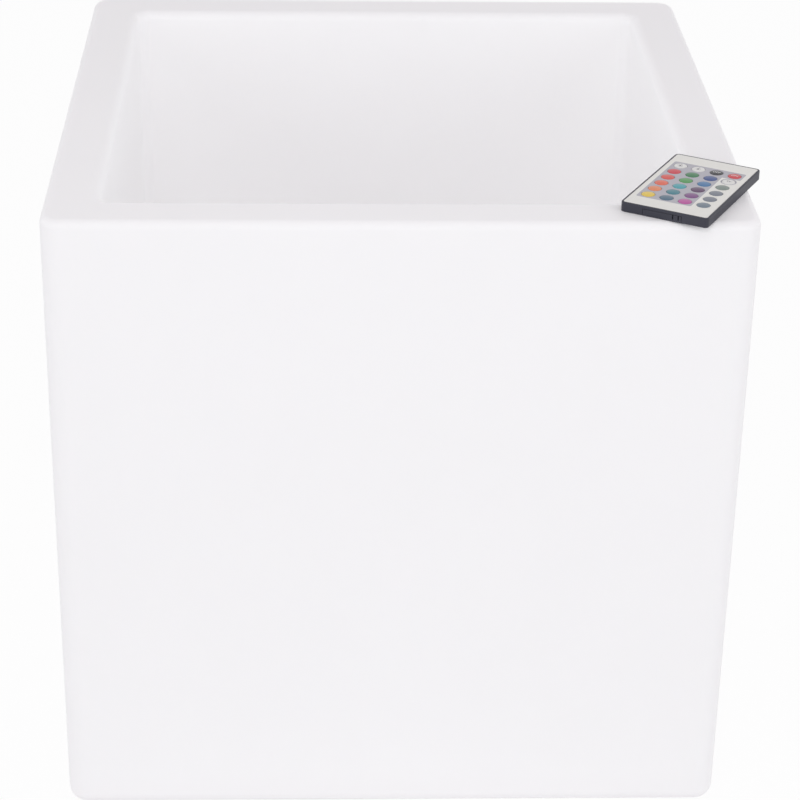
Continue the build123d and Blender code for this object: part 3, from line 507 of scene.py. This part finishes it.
class Workpiece:
    """A mesh on the bench, shaped in edit mode with the modelling operators."""

    def __init__(self, name: str) -> None:
        """Take the active object as the workpiece and name it."""
        self.thing = bpy.context.active_object
        self.thing.name = name
        self.thing.data.name = name
        bpy.ops.object.transform_apply(location=True, rotation=True, scale=True)

    @classmethod
    def block(cls, name: str, low: Sequence[float], high: Sequence[float]) -> "Workpiece":
        """Start from a cube, stretched between two corners."""
        clear_bench()
        middle = [(a + b) / 2 for a, b in zip(low, high)]
        bpy.ops.mesh.primitive_cube_add(size=1.0, location=middle)
        bpy.context.active_object.scale = [b - a for a, b in zip(low, high)]
        return cls(name)

    @classmethod
    def drum(
        cls,
        name: str,
        foot: Sequence[float],
        radius: float,
        height: float,
        sides: int = PLAIN_ROUND,
    ) -> "Workpiece":
        """Start from an upright cylinder that stands on the point foot."""
        clear_bench()
        middle = (foot[0], foot[1], foot[2] + height / 2)
        bpy.ops.mesh.primitive_cylinder_add(
            vertices=sides, radius=radius, depth=height, location=middle
        )
        return cls(name)

    @classmethod
    def ring(
        cls, name: str, centre: Sequence[float], radius: float, thickness: float
    ) -> "Workpiece":
        """Start from a torus of round section."""
        clear_bench()
        bpy.ops.mesh.primitive_torus_add(
            location=centre,
            major_radius=radius,
            minor_radius=thickness / 2,
            major_segments=RING_STEPS,
            minor_segments=SECTION_STEPS,
        )
        return cls(name)

    @classmethod
    def lettering(cls, name: str, words: str, height: float) -> "Workpiece":
        """Start from flat lettering, made a mesh, with its middle at the origin."""
        clear_bench()
        bpy.ops.object.text_add()
        text = bpy.context.active_object.data
        text.body = words
        text.size = height
        text.align_x = "CENTER"
        text.align_y = "CENTER"
        bpy.ops.object.convert(target="MESH")
        return cls(name)

    def _bench(self) -> None:
        """Make this the only selected and active object."""
        clear_bench()
        self.thing.select_set(True)
        bpy.context.view_layer.objects.active = self.thing

    def _edit(self, pick: Pick) -> bmesh.types.BMesh:
        """Go into edit mode with nothing picked, and return the mesh being edited."""
        self._bench()
        bpy.ops.object.mode_set(mode="EDIT")
        bpy.ops.mesh.select_mode(type=pick.value)
        bpy.ops.mesh.select_all(action="DESELECT")
        return bmesh.from_edit_mesh(self.thing.data)

    def faces(self, test: Callable[[Vector, Vector], bool]) -> "Workpiece":
        """Pick the faces whose centre and normal pass the test."""
        mesh = self._edit(Pick.FACE)
        for face in mesh.faces:
            face.select_set(test(face.calc_center_median(), face.normal))
        mesh.select_flush_mode()
        bmesh.update_edit_mesh(self.thing.data)
        return self

    def edges(self, test: Callable[[Vector, Vector], bool]) -> "Workpiece":
        """Pick the edges whose two ends pass the test."""
        mesh = self._edit(Pick.EDGE)
        for edge in mesh.edges:
            edge.select_set(test(edge.verts[0].co, edge.verts[1].co))
        mesh.select_flush_mode()
        bmesh.update_edit_mesh(self.thing.data)
        return self

    def inset(self, width: float) -> "Workpiece":
        """Inset what is picked by an even width."""
        bpy.ops.mesh.inset(thickness=width, use_even_offset=True)
        return self

    def extrude(self, move: Triple) -> "Workpiece":
        """Extrude what is picked along a move."""
        bpy.ops.mesh.extrude_region_move(TRANSFORM_OT_translate={"value": move})
        return self

    def shift(self, move: Triple) -> "Workpiece":
        """Move what is picked."""
        bpy.ops.transform.translate(value=move)
        return self

    def bevel(self, width: float, steps: int) -> "Workpiece":
        """Round the picked edges."""
        bpy.ops.mesh.bevel(
            offset=width, segments=steps, profile=0.5, affect="EDGES", clamp_overlap=False
        )
        return self

    def open(self) -> "Workpiece":
        """Take the picked faces out."""
        bpy.ops.mesh.delete(type="ONLY_FACE")
        return self

    def modify(self, kind: str, **settings: Any) -> "Workpiece":
        """Add a modifier with its settings and apply it."""
        self._bench()
        modifier = self.thing.modifiers.new(kind.lower(), kind)
        for name, value in settings.items():
            setattr(modifier, name, value)
        bpy.ops.object.modifier_apply(modifier=modifier.name)
        return self

    def work(self, other: "Workpiece", how: Joinery) -> "Workpiece":
        """Cut another workpiece out of this one or fuse it on, and put the other away."""
        self.modify("BOOLEAN", object=other.thing, operation=how.value, solver="EXACT")
        bpy.data.objects.remove(other.thing)
        return self

    def join(self, others: Sequence["Workpiece"]) -> "Workpiece":
        """Join other workpieces into this one, without changing their shapes."""
        self._bench()
        for other in others:
            other.thing.select_set(True)
        bpy.ops.object.join()
        return self

    def copy(self, name: str) -> "Workpiece":
        """Return a copy with its own mesh."""
        self._bench()
        bpy.ops.object.duplicate(linked=False)
        return Workpiece(name)

    def place(self, pose: Matrix) -> "Workpiece":
        """Turn and move the mesh, and leave its object at the origin."""
        self._bench()
        self.thing.matrix_world = pose @ self.thing.matrix_world
        bpy.ops.object.transform_apply(location=True, rotation=True, scale=True)
        return self

    def smooth(self, angle: float = PLAIN) -> "Workpiece":
        """Shade round edges smooth, and keep flat faces flat up to their edges."""
        self._bench()
        bpy.ops.object.shade_smooth_by_angle(angle=radians(angle))
        return self.modify("WEIGHTED_NORMAL", keep_sharp=True, weight=FLAT_WEIGHT)

    def dress(
        self, finish: Finish, body: str, slot: str, replaces: Sequence[str] = ()
    ) -> "Workpiece":
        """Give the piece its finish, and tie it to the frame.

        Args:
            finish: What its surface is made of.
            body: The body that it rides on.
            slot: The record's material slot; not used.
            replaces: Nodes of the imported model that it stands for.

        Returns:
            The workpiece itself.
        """
        clear_bench()
        self.thing.data.materials.clear()
        self.thing.data.materials.append(finish.material())
        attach(self.thing, body)
        if replaces:
            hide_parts(*replaces)
        LOG.info("%s: %s, on %s", self.thing.name, finish.name, body)
        return self


def dress_node(node: str, finish: Finish) -> None:
    """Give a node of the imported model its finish, on its unchanged shape."""
    slots = frame["nodes"][node].data.materials
    slots.clear()
    slots.append(finish.material())
    LOG.info("%s: %s, as packed", node, finish.name)


@dataclass(frozen=True)
class Softbox:
    """A square soft lamp: degrees round from the front, degrees up, distance, width and watts."""

    name: str
    swing: float
    rise: float
    reach: float
    size: float
    power: float


@dataclass
class Studio:
    """Camera, soft lamps, white surround and pale floor."""

    lens_mm: float = 110.107
    sensor_mm: float = 36.0
    camera_place: Triple = (-0.04776, -1.44073, 0.91605)
    pitch: float = 0.4696
    yaw: float = -0.0387
    roll: float = 0.0181
    horizon_level: float = 1.27
    zenith_level: float = 0.40
    horizon_blur: float = 0.02
    horizon_tone: str = "#FAFDFF"
    zenith_tone: str = "#FFF7FC"
    under_level: float = 0.8
    under_gap: float = 30 * MM
    lamps: tuple[Softbox, ...] = (
        Softbox("left_softbox", -50.0, 22.0, 2.4, 1.3, 2.2),
        Softbox("right_softbox", 50.0, 22.0, 2.4, 1.3, 2.5),
        Softbox("front_softbox", -3.0, 50.0, 1.6, 1.0, 3.2),
        Softbox("left_fill", -85.0, 30.0, 2.2, 1.3, 0.7),
        Softbox("right_fill", 85.0, 30.0, 2.2, 1.3, 0.5),
    )
    lamp_aim: Triple = (0.0, 0.0, 0.3)
    floor_size: float = 14.0
    floor_tone: str = "#F6F6F6"
    floor_shade: float = 0.06
    soft_bounces: int = 10

    def build(self) -> None:
        """Set up the whole studio."""
        bpy.context.scene.view_settings.view_transform = "Standard"
        bpy.context.scene.cycles.diffuse_bounces = self.soft_bounces
        self.camera()
        self.surround()
        self.hang_lamps()
        self.floor()

    def camera(self) -> None:
        """Stand the camera where the photograph was taken from."""
        clear_bench()
        bpy.ops.object.camera_add(location=self.camera_place)
        camera = bpy.context.active_object
        camera.name = "studio_camera"
        camera.data.lens = self.lens_mm
        camera.data.sensor_width = self.sensor_mm
        turn = Matrix.Rotation(self.yaw, 4, "Z") @ Matrix.Rotation(pi / 2 - self.pitch, 4, "X")
        turn = turn @ Matrix.Rotation(self.roll, 4, "Z")
        camera.matrix_world = Matrix.Translation(self.camera_place) @ turn
        bpy.context.scene.camera = camera

    def surround(self) -> None:
        """Light the room most from the horizon, less from above, and show it as plain white."""
        world = bpy.data.worlds.new("studio_surround")
        world.use_nodes = True
        bpy.context.scene.world = world
        tree = world.node_tree
        tree.nodes.clear()
        way = add_node(tree, "ShaderNodeTexCoord").outputs["Generated"]
        height = add_node(tree, "ShaderNodeSeparateXYZ", {"Vector": way}).outputs["Z"]
        sky = remap(tree, height, (0.0, 1.0), (self.horizon_level, self.zenith_level))
        level = remap(tree, height, (-self.horizon_blur, 0.0), (self.under_level, sky))
        rise = scalar_math(tree, "ABSOLUTE", height)
        tint = mix_tones(tree, rise, linear(self.horizon_tone), linear(self.zenith_tone))
        light = add_node(tree, "ShaderNodeBackground", {"Color": tint, "Strength": level})
        white = add_node(tree, "ShaderNodeBackground", {"Color": (1, 1, 1, 1), "Strength": 1.0})
        room = layer(tree, seen_directly(tree), light, white)
        add_node(tree, "ShaderNodeOutputWorld", {"Surface": room.outputs[0]})

    def hang_lamps(self) -> None:
        """Stand the soft lamps round the object, each turned to it."""
        for lamp in self.lamps:
            swing, rise = radians(lamp.swing), radians(lamp.rise)
            back = Vector((sin(swing) * cos(rise), -cos(swing) * cos(rise), sin(rise)))
            clear_bench()
            stand = Vector(self.lamp_aim) + back * lamp.reach
            bpy.ops.object.light_add(type="AREA", location=stand)
            made = bpy.context.active_object
            made.name = lamp.name
            made.data.shape = "SQUARE"
            made.data.size = lamp.size
            made.data.energy = lamp.power
            made.rotation_mode = "QUATERNION"
            made.rotation_quaternion = (-back).to_track_quat("-Z", "Y")

    def floor(self) -> None:
        """Lay a pale floor that keeps the object's shadow, and lets light through from beneath."""
        clear_bench()
        bpy.ops.mesh.primitive_plane_add(size=self.floor_size)
        floor = bpy.context.active_object
        floor.name = "studio_floor"
        material = bpy.data.materials.new("pale_floor")
        material.use_nodes = True
        tree = material.node_tree
        tree.nodes.clear()
        paint = add_node(tree, "ShaderNodeBsdfDiffuse", {"Color": linear(self.floor_tone)})
        white = add_node(tree, "ShaderNodeEmission", {"Strength": 1.0})
        shown = scalar_math(tree, "MULTIPLY", seen_directly(tree), 1.0 - self.floor_shade)
        top = layer(tree, shown, paint, white)
        beneath = add_node(tree, "ShaderNodeNewGeometry").outputs["Backfacing"]
        reach = add_node(tree, "ShaderNodeLightPath").outputs["Ray Length"]
        close = scalar_math(tree, "LESS_THAN", reach, self.under_gap)
        through = scalar_math(tree, "MAXIMUM", beneath, close)
        sheet = layer(tree, through, top, add_node(tree, "ShaderNodeBsdfTransparent"))
        add_node(tree, "ShaderNodeOutputMaterial", {"Surface": sheet.outputs[0]})
        floor.data.materials.append(material)


@dataclass
class CubeShell:
    """The hollow moulding: a cube with a basin in its top and a recess in its underside."""

    width: float = 400 * MM
    height: float = 391 * MM
    stand: float = 4 * MM
    wall: float = 4.5 * MM
    rim: float = 32 * MM
    basin_depth: float = 195 * MM
    side_radius: float = 12 * MM
    top_radius: float = 5 * MM
    bottom_radius: float = 9 * MM
    rim_radius: float = 6 * MM
    basin_corner: float = 8 * MM
    basin_floor_radius: float = 6 * MM
    recess_radius: float = 90 * MM
    recess_depth: float = 12 * MM
    hole_radius: float = 68 * MM
    foot_reach: float = 150 * MM
    foot_pocket: float = 13.2 * MM
    foot_pocket_depth: float = 3 * MM
    boss_reach: float = 78 * MM
    boss_radius: float = 8 * MM
    boss_height: float = 14 * MM
    nut_radius: float = 4.05 * MM
    nut_length: float = 10 * MM
    boss_count: int = 6
    side_steps: int = 10
    top_steps: int = 7
    bottom_steps: int = 8
    corner_steps: int = 8
    floor_steps: int = 7
    rim_steps: int = 8
    over: float = 2 * MM
    near: float = 0.05 * MM

    def build(self) -> None:
        """Mould the shell and dress it."""
        shell = self.skin()
        self.open_basin(shell)
        self.open_underside(shell)
        shell.modify(
            "SOLIDIFY", thickness=self.wall, offset=-1.0, use_even_offset=True, use_rim=True
        )
        self.add_bosses(shell)
        shell.smooth(CRISP)
        shell.dress(POLYETHYLENE, "table", "polyethylene_white", ["shell"])
        dress_node("shell_inserts", BRASS)

    def skin(self) -> Workpiece:
        """Return the closed cube with its rounded outer edges."""
        half = self.width / 2
        top = self.stand + self.height
        shell = Workpiece.block("cube_shell", (-half, -half, self.stand), (half, half, top))
        upright = self.height / 2
        shell.edges(lambda a, b: abs(a.z - b.z) > upright).bevel(self.side_radius, self.side_steps)
        high, low = top - self.near, self.stand + self.near
        shell.edges(lambda a, b: min(a.z, b.z) > high).bevel(self.top_radius, self.top_steps)
        shell.edges(lambda a, b: max(a.z, b.z) < low).bevel(self.bottom_radius, self.bottom_steps)
        return shell

    def open_basin(self, shell: Workpiece) -> None:
        """Cut the basin, with its rounded corners and floor, and roll its rim."""
        inner = self.width / 2 - self.rim
        top = self.stand + self.height
        floor = top - self.basin_depth
        basin = Workpiece.block("basin", (-inner, -inner, floor), (inner, inner, top + self.over))
        upright, low = self.basin_depth / 2, floor + self.near
        basin.edges(lambda a, b: abs(a.z - b.z) > upright)
        basin.bevel(self.basin_corner, self.corner_steps)
        basin.edges(lambda a, b: max(a.z, b.z) < low)
        basin.bevel(self.basin_floor_radius, self.floor_steps)
        shell.work(basin, Joinery.CUT)
        lip = top - self.near
        edge = inner + self.near
        shell.edges(
            lambda a, b: min(a.z, b.z) > lip and max(abs(c) for v in (a, b) for c in v.xy) < edge
        ).bevel(self.rim_radius, self.rim_steps)

    def open_underside(self, shell: Workpiece) -> None:
        """Sink the recess and the foot pockets, and open the hole to the hollow."""
        low = self.stand - self.over
        depth = self.recess_depth + self.over
        recess = Workpiece.drum("recess", (0, 0, low), self.recess_radius, depth, BROAD_ROUND)
        shell.work(recess, Joinery.CUT)
        depth = self.foot_pocket_depth + self.over
        for x in (-self.foot_reach, self.foot_reach):
            for y in (-self.foot_reach, self.foot_reach):
                foot = (x, y, low)
                pocket = Workpiece.drum("pocket", foot, self.foot_pocket, depth, SMALL_ROUND)
                shell.work(pocket, Joinery.CUT)
        ceiling = Vector((0, 0, self.stand + self.recess_depth))
        shell.faces(lambda c, n: n.z < -FACING and max(map(abs, c - ceiling)) < self.near)
        shell.inset(self.recess_radius - self.hole_radius).open()

    def add_bosses(self, shell: Workpiece) -> None:
        """Raise the bosses in the hollow and bore them for the moulded-in nuts."""
        ceiling = self.stand + self.recess_depth
        for index in range(self.boss_count):
            angle = 2 * pi * index / self.boss_count
            x, y = self.boss_reach * cos(angle), self.boss_reach * sin(angle)
            foot, height = (x, y, ceiling + self.wall / 2), self.boss_height - self.wall / 2
            boss = Workpiece.drum("boss", foot, self.boss_radius, height, TINY_ROUND)
            shell.work(boss, Joinery.FUSE)
            foot, height = (x, y, ceiling - self.over), self.nut_length + self.over
            bore = Workpiece.drum("bore", foot, self.nut_radius, height, TINY_ROUND)
            shell.work(bore, Joinery.CUT)


@dataclass
class RubberFeet:
    """Four round feet, each with a treaded sole."""

    reach: float = 150 * MM
    radius: float = 13 * MM
    height: float = 7 * MM
    sole_edge: float = 1.5 * MM
    sole_steps: int = 4
    tread: tuple[float, ...] = (3 * MM, 2.4 * MM, 2.4 * MM, 1.8 * MM)
    groove: float = 0.5 * MM
    near: float = 0.02 * MM

    def build(self) -> None:
        """Make one foot and copy it to the four corners."""
        first = Workpiece.drum("foot", (0, 0, 0), self.radius, self.height)
        first.edges(lambda a, b: max(a.z, b.z) < self.near).bevel(self.sole_edge, self.sole_steps)
        first.faces(lambda c, n: n.z < -FACING and c.xy.length < self.near)
        for step, width in enumerate(self.tread):
            first.inset(width)
            first.extrude((0, 0, self.groove if step % 2 == 0 else -self.groove))
        for index, (x, y) in enumerate(((-1, -1), (1, -1), (1, 1), (-1, 1))):
            foot = first.copy(f"rubber_foot_{index + 1}")
            foot.place(Matrix.Translation((x * self.reach, y * self.reach, 0))).smooth()
            foot.dress(FOOT_RUBBER, "table", "rubber_grey", ["rubber_feet"])
        bpy.data.objects.remove(first.thing)


@dataclass
class LightModule:
    """The round module in the underside: housing, lamps, cells, switch, button and bung.

    The gap and the bar of the button's mark are shares of its radius, soft edges of a height.
    """

    flange_z: float = 10.5 * MM
    button: tuple[float, float] = (-18 * MM, -36 * MM)
    button_radius: float = 7 * MM
    bezel_gap: float = 1.6 * MM
    bezel_section: float = 1.2 * MM
    outer_rib: float = 84 * MM
    mark_radius: float = 2.6 * MM
    mark_section: float = 0.5 * MM
    gap_half: float = 0.45
    gap_reach: float = 1.5
    bar_reach: float = 1.2
    bar_soft: float = 0.6
    bar_steps: int = 2
    grip_count: int = 7
    grip_pitch: float = 3.2 * MM
    grip_length: float = 16 * MM
    grip_width: float = 1.2 * MM
    grip_rise: float = 0.5 * MM
    grip_soft: float = 0.8
    grip_steps: int = 3
    cover_y: float = 16 * MM
    grip_x: float = 30 * MM

    def build(self) -> None:
        """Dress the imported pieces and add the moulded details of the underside."""
        for node, finish in MODULE_FINISHES.items():
            dress_node(node, finish)
        self.ribs()
        self.grips()
        self.power_mark()

    def ribs(self) -> None:
        """Raise round beads on the flange and a bezel round the button."""
        bezel = self.button_radius + self.bezel_gap
        beads = {"flange_bead": (0.0, 0.0, self.outer_rib), "button_bezel": (*self.button, bezel)}
        for name, (x, y, radius) in beads.items():
            bead = Workpiece.ring(name, (x, y, self.flange_z), radius, self.bezel_section)
            bead.smooth(FULL_ROUND).dress(HOUSING_ABS, "table", "housing_white")

    def grips(self) -> None:
        """Raise a row of finger grips on the battery cover."""
        high = (self.grip_width / 2, self.grip_length / 2, self.grip_rise)
        first = Workpiece.block("grip", [-size for size in high], high)
        soft = self.grip_rise * self.grip_soft
        first.edges(lambda a, b: max(a.z, b.z) < 0).bevel(soft, self.grip_steps)
        middle = (self.grip_count - 1) / 2
        for index in range(self.grip_count):
            grip = first.copy(f"cover_grip_{index + 1}")
            x = self.grip_x + (index - middle) * self.grip_pitch
            grip.place(Matrix.Translation((x, self.cover_y, self.flange_z))).smooth()
            grip.dress(HOUSING_ABS, "table", "housing_white")
        bpy.data.objects.remove(first.thing)

    def power_mark(self) -> None:
        """Raise the usual ring and bar of a power button on the button's face."""
        low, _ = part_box("power_button")
        x, y = self.button
        ring = Workpiece.ring("button_mark", (x, y, low.z), self.mark_radius, self.mark_section)
        wide, deep = self.mark_radius * self.gap_half, self.mark_section
        end = y + self.mark_radius * self.gap_reach
        slot = Workpiece.block("gap", (x - wide, y, low.z - deep), (x + wide, end, low.z + deep))
        ring.work(slot, Joinery.CUT)
        half = self.mark_section / 2
        end = y + self.mark_radius * self.bar_reach
        bar = Workpiece.block("bar", (x - half, y, low.z - half), (x + half, end, low.z + half))
        bar.edges(lambda a, b: max(a.z, b.z) < low.z).bevel(half * self.bar_soft, self.bar_steps)
        ring.join([bar]).smooth().dress(WHITE_INK, "power_button", "housing_white")


@dataclass(frozen=True)
class Key:
    """One key of the remote: its colour and what is printed on it."""

    name: str
    tone: str
    mark: Mark = Mark.BARE
    word: str = ""
    ink: Finish = GREY_INK


KEYS = (
    Key("brighter", "#E9E9E6", Mark.SUN_UP),
    Key("dimmer", "#E9E9E6", Mark.SUN_DOWN),
    Key("off", "#2E2E34", Mark.WORD, "OFF", WHITE_INK),
    Key("on", "#D23A44", Mark.WORD, "ON", WHITE_INK),
    Key("red", "#D23A4A"),
    Key("green", "#2F7A4A"),
    Key("blue", "#37508C"),
    Key("white", "#E9E9E6", Mark.WORD, "W"),
    Key("scarlet", "#DE5048"),
    Key("light_green", "#4E9A52"),
    Key("mid_blue", "#3E76A8"),
    Key("flash", "#7F8C86"),
    Key("coral", "#E4684E"),
    Key("cyan", "#45A3AE"),
    Key("dark_purple", "#5A3760"),
    Key("strobe", "#7A818C"),
    Key("orange", "#E8895A"),
    Key("teal", "#3E808E"),
    Key("purple", "#7D4785"),
    Key("fade", "#7A808C"),
    Key("yellow", "#EBCB48"),
    Key("slate_blue", "#48697F"),
    Key("magenta", "#BE4FA0"),
    Key("smooth", "#6F7E8C"),
)


@dataclass
class Remote:
    """The slim remote: case, printed film, domed keys with their print, and the works inside.

    hole_edge is a share of the film, crown_shares of the key's radius, and what makes up a sun
    of the sun's own radius.
    """

    width: float = 52 * MM
    length: float = 85 * MM
    case_height: float = 5.0 * MM
    plate: float = 0.6 * MM
    film: float = 0.2 * MM
    corner: float = 2.5 * MM
    plate_edge: float = 0.35 * MM
    film_border: float = 1.2 * MM
    film_gap: float = 0.2 * MM
    key_radius: float = 3.8 * MM
    key_flange: float = 0.6 * MM
    key_flange_height: float = 0.25 * MM
    key_hole: float = 4.0 * MM
    key_crown: float = 0.4 * MM
    key_edge: float = 0.12 * MM
    pitch_x: float = 11.0 * MM
    pitch_y: float = 9.9 * MM
    columns: int = 4
    rows: int = 6
    field_margin: float = 5.3 * MM
    field_corner: float = 1.2 * MM
    ring_width: float = 0.6 * MM
    letter_height: float = 2.6 * MM
    print_lift: float = 0.035 * MM
    near: float = 0.02 * MM
    corner_steps: int = 7
    plate_edge_steps: int = 4
    soft_edge_steps: int = 2
    hole_edge: float = 0.4
    crown_shares: tuple[float, ...] = (0.9, 0.78, 0.62, 0.44, 0.24, 0.08)
    sun_rays: int = 8
    ray_reach: float = 1.9
    ray_length: float = 0.7
    ray_width: float = 0.28
    arrow_reach: float = 2.6
    arrow_radius: float = 0.9

    def __post_init__(self) -> None:
        """Read from the frame where the remote lies and how it is turned."""
        axis = next(j["axis"] for j in frame["joints"] if j["name"] == "battery_tray_slide")
        low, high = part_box("remote_overlay")
        self.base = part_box("remote_case_back")[0].z
        self.centre = (low + high) / 2
        self.turn = -atan2(-axis[0], -axis[1])
        spot = Matrix.Translation((self.centre.x, self.centre.y, self.base))
        self.pose = spot @ Matrix.Rotation(self.turn, 4, "Z")
        self.film_z = self.case_height + self.plate
        self.top_z = self.film_z + self.film

    def build(self) -> None:
        """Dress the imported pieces, and make the plate, the film and the keys anew."""
        for node, finish in REMOTE_FINISHES.items():
            dress_node(node, finish)
        self.front_plate()
        self.printed_film()
        self.keys()

    def key_spot(self, index: int) -> tuple[float, float]:
        """Return the middle of a key on the remote, counted along the rows from the far end."""
        row, column = divmod(index, self.columns)
        x = (column - (self.columns - 1) / 2) * self.pitch_x
        y = ((self.rows - 1) / 2 - row) * self.pitch_y
        return x, y

    def hole_cutter(self) -> Workpiece:
        """Return round bars through all the key holes, as one workpiece."""
        bars = []
        for index in range(self.rows * self.columns):
            x, y = self.key_spot(index)
            foot, height = (x, y, 0), 2 * self.top_z
            bars.append(Workpiece.drum("bar", foot, self.key_hole, height, SMALL_ROUND))
        return bars[0].join(bars[1:])

    def slab(
        self, name: str, width: float, length: float, low: float, high: float, corner: float
    ) -> Workpiece:
        """Return a flat slab round the remote's middle, with rounded upright corners."""
        made = Workpiece.block(name, (-width / 2, -length / 2, low), (width / 2, length / 2, high))
        upright = (high - low) / 2
        made.edges(lambda a, b: abs(a.z - b.z) > upright).bevel(corner, self.corner_steps)
        return made

    def front_plate(self) -> None:
        """Make the black front plate, with its rounded edge, film bay and key holes."""
        top = self.top_z - self.near
        heights = (self.case_height, self.top_z)
        plate = self.slab("remote_front_plate", self.width, self.length, *heights, self.corner)
        plate.edges(lambda a, b: min(a.z, b.z) > top).bevel(self.plate_edge, self.plate_edge_steps)
        plate.faces(lambda c, n: n.z > FACING and c.z > top and c.xy.length < self.near)
        plate.inset(self.film_border - self.film_gap - self.plate_edge)
        plate.extrude((0, 0, -self.film))
        plate.work(self.hole_cutter(), Joinery.CUT)
        plate.place(self.pose).smooth(CRISP)
        plate.dress(REMOTE_ABS, "remote", "remote_black", ["remote_case_front"])

    def printed_film(self) -> None:
        """Make the film, with a soft edge round each key hole, and print it."""
        width = self.width - 2 * self.film_border
        length = self.length - 2 * self.film_border
        corner = self.corner - self.film_border
        film = self.slab("remote_film", width, length, self.film_z, self.top_z, corner)
        film.work(self.hole_cutter(), Joinery.CUT)
        spots = [Vector(self.key_spot(i)) for i in range(self.rows * self.columns)]
        reach = self.key_hole + self.near
        top = self.top_z - self.near

        def round_hole(a: Vector, b: Vector) -> bool:
            """Tell whether an edge lies on the upper edge of one key hole."""
            near_spot = (max((a.xy - s).length, (b.xy - s).length) < reach for s in spots)
            return min(a.z, b.z) > top and any(near_spot)

        film.edges(round_hole).bevel(self.film * self.hole_edge, self.soft_edge_steps)
        film.place(self.pose).smooth(CRISP)
        film.dress(self.film_finish(), "remote", "film_pale", ["remote_overlay"])

    def film_finish(self) -> PrintedFilm:
        """Return the print: grey behind the first row, three columns and the white key."""
        left, top = self.key_spot(0)
        right = self.key_spot(self.columns - 1)[0]
        third = self.key_spot(self.columns - 2)[0]
        bottom = self.key_spot(self.rows * self.columns - 1)[1]
        edge = self.field_margin
        head = (left - edge, top - edge, right + edge, top + edge, self.field_corner)
        body = (left - edge, bottom - edge, third + edge, top + edge, self.field_corner)
        x, y = self.key_spot([key.name for key in KEYS].index("white"))
        ring = self.key_hole + self.ring_width
        round_key = (x - ring, y - ring, x + ring, y + ring, ring)
        place = (self.centre.x, self.centre.y, 0.0)
        return PrintedFilm(
            "printed_polyester_film", "#EAEAE4", "#E5E5DF",
            roughness=0.45, patch_mm=9.0, grain_mm=0.4, relief_mm=0.003,
            centre=place, turn=self.turn, fields=(head, body, round_key),
        )

    def key_cap(self) -> Workpiece:
        """Return one domed cap with its flange, round the remote's middle."""
        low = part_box("key_on")[0].z - self.base
        stem = self.top_z - low - self.key_flange_height
        foot = self.key_radius + self.key_flange
        cap = Workpiece.drum("cap", (0, 0, low), foot, self.key_flange_height, SMALL_ROUND)
        cap.faces(lambda c, n: n.z > FACING).inset(self.key_flange).extrude((0, 0, stem))
        radius, height = self.key_radius, 0.0
        for share in self.crown_shares:
            rise = self.key_crown * (1 - share**2)
            cap.inset(radius - share * self.key_radius).shift((0, 0, rise - height))
            radius, height = share * self.key_radius, rise
        cap.edges(lambda a, b: all(abs(v.z - self.top_z) < self.near for v in (a, b)))
        return cap.bevel(self.key_edge, self.soft_edge_steps)

    def keys(self) -> None:
        """Copy the cap to each key, colour it and print on it."""
        first = self.key_cap()
        above = Matrix.Translation((0, 0, self.top_z + self.key_crown + self.near))
        for index, key in enumerate(KEYS):
            x, y = self.key_spot(index)
            node = f"key_{key.name}"
            pose = self.pose @ Matrix.Translation((x, y, 0))
            cap = first.copy(f"cap_{key.name}").place(pose).smooth(DOMED)
            cap.dress(key_ink(key.name, key.tone), node, node, [node])
            printed = self.key_print(key)
            if printed is None:
                continue
            printed.place(pose @ above)
            printed.modify(
                "SHRINKWRAP",
                target=cap.thing,
                wrap_method="PROJECT",
                use_project_z=True,
                use_negative_direction=True,
                use_positive_direction=False,
                offset=self.print_lift,
            )
            printed.modify("SOLIDIFY", thickness=self.print_lift, offset=-1.0)
            printed.dress(key.ink, node, node)
        bpy.data.objects.remove(first.thing)

    def key_print(self, key: Key) -> Workpiece | None:
        """Return what is printed on a key, flat round the origin, or nothing for a bare key."""
        name = f"print_{key.name}"
        if key.mark is Mark.WORD:
            return Workpiece.lettering(name, key.word, self.letter_height)
        if key.mark in (Mark.SUN_UP, Mark.SUN_DOWN):
            return self.sun(name, 1.0 if key.mark is Mark.SUN_UP else -1.0)
        return None

    def sun(self, name: str, way: float) -> Workpiece:
        """Return a small sun with an arrow head above it, pointing up or down.

        Args:
            name: Name of the piece.
            way: 1 for up or -1 for down.

        Returns:
            The flat print.
        """
        unit = self.letter_height / 4
        clear_bench()
        bpy.ops.mesh.primitive_circle_add(
            vertices=DOT_ROUND, radius=unit, fill_type="NGON", location=(0, -unit, 0)
        )
        disc = Workpiece(name)
        rays = []
        reach = self.ray_reach * unit
        for index in range(self.sun_rays):
            angle = 2 * pi * index / self.sun_rays
            bpy.ops.mesh.primitive_plane_add(size=1.0)
            ray = bpy.context.active_object
            ray.scale = (unit * self.ray_length, unit * self.ray_width, 1.0)
            ray.rotation_euler = (0, 0, angle)
            ray.location = (reach * cos(angle), -unit + reach * sin(angle), 0)
            rays.append(Workpiece("ray"))
        radius = unit * self.arrow_radius
        bpy.ops.mesh.primitive_circle_add(vertices=3, radius=radius, fill_type="NGON")
        head = bpy.context.active_object
        head.rotation_euler = (0, 0, 0.0 if way > 0 else pi)
        head.location = (0, self.arrow_reach * unit, 0)
        rays.append(Workpiece("arrow"))
        return disc.join(rays)


def main() -> None:
    """Build the studio and dress each sub-assembly in order."""
    logging.basicConfig(level=logging.INFO, format="%(name)s %(message)s")
    Studio().build()
    for part in (CubeShell(), RubberFeet(), LightModule(), Remote()):
        LOG.info("building %s", type(part).__name__)
        part.build()
    clear_bench()


if __name__ == "__main__":
    main()
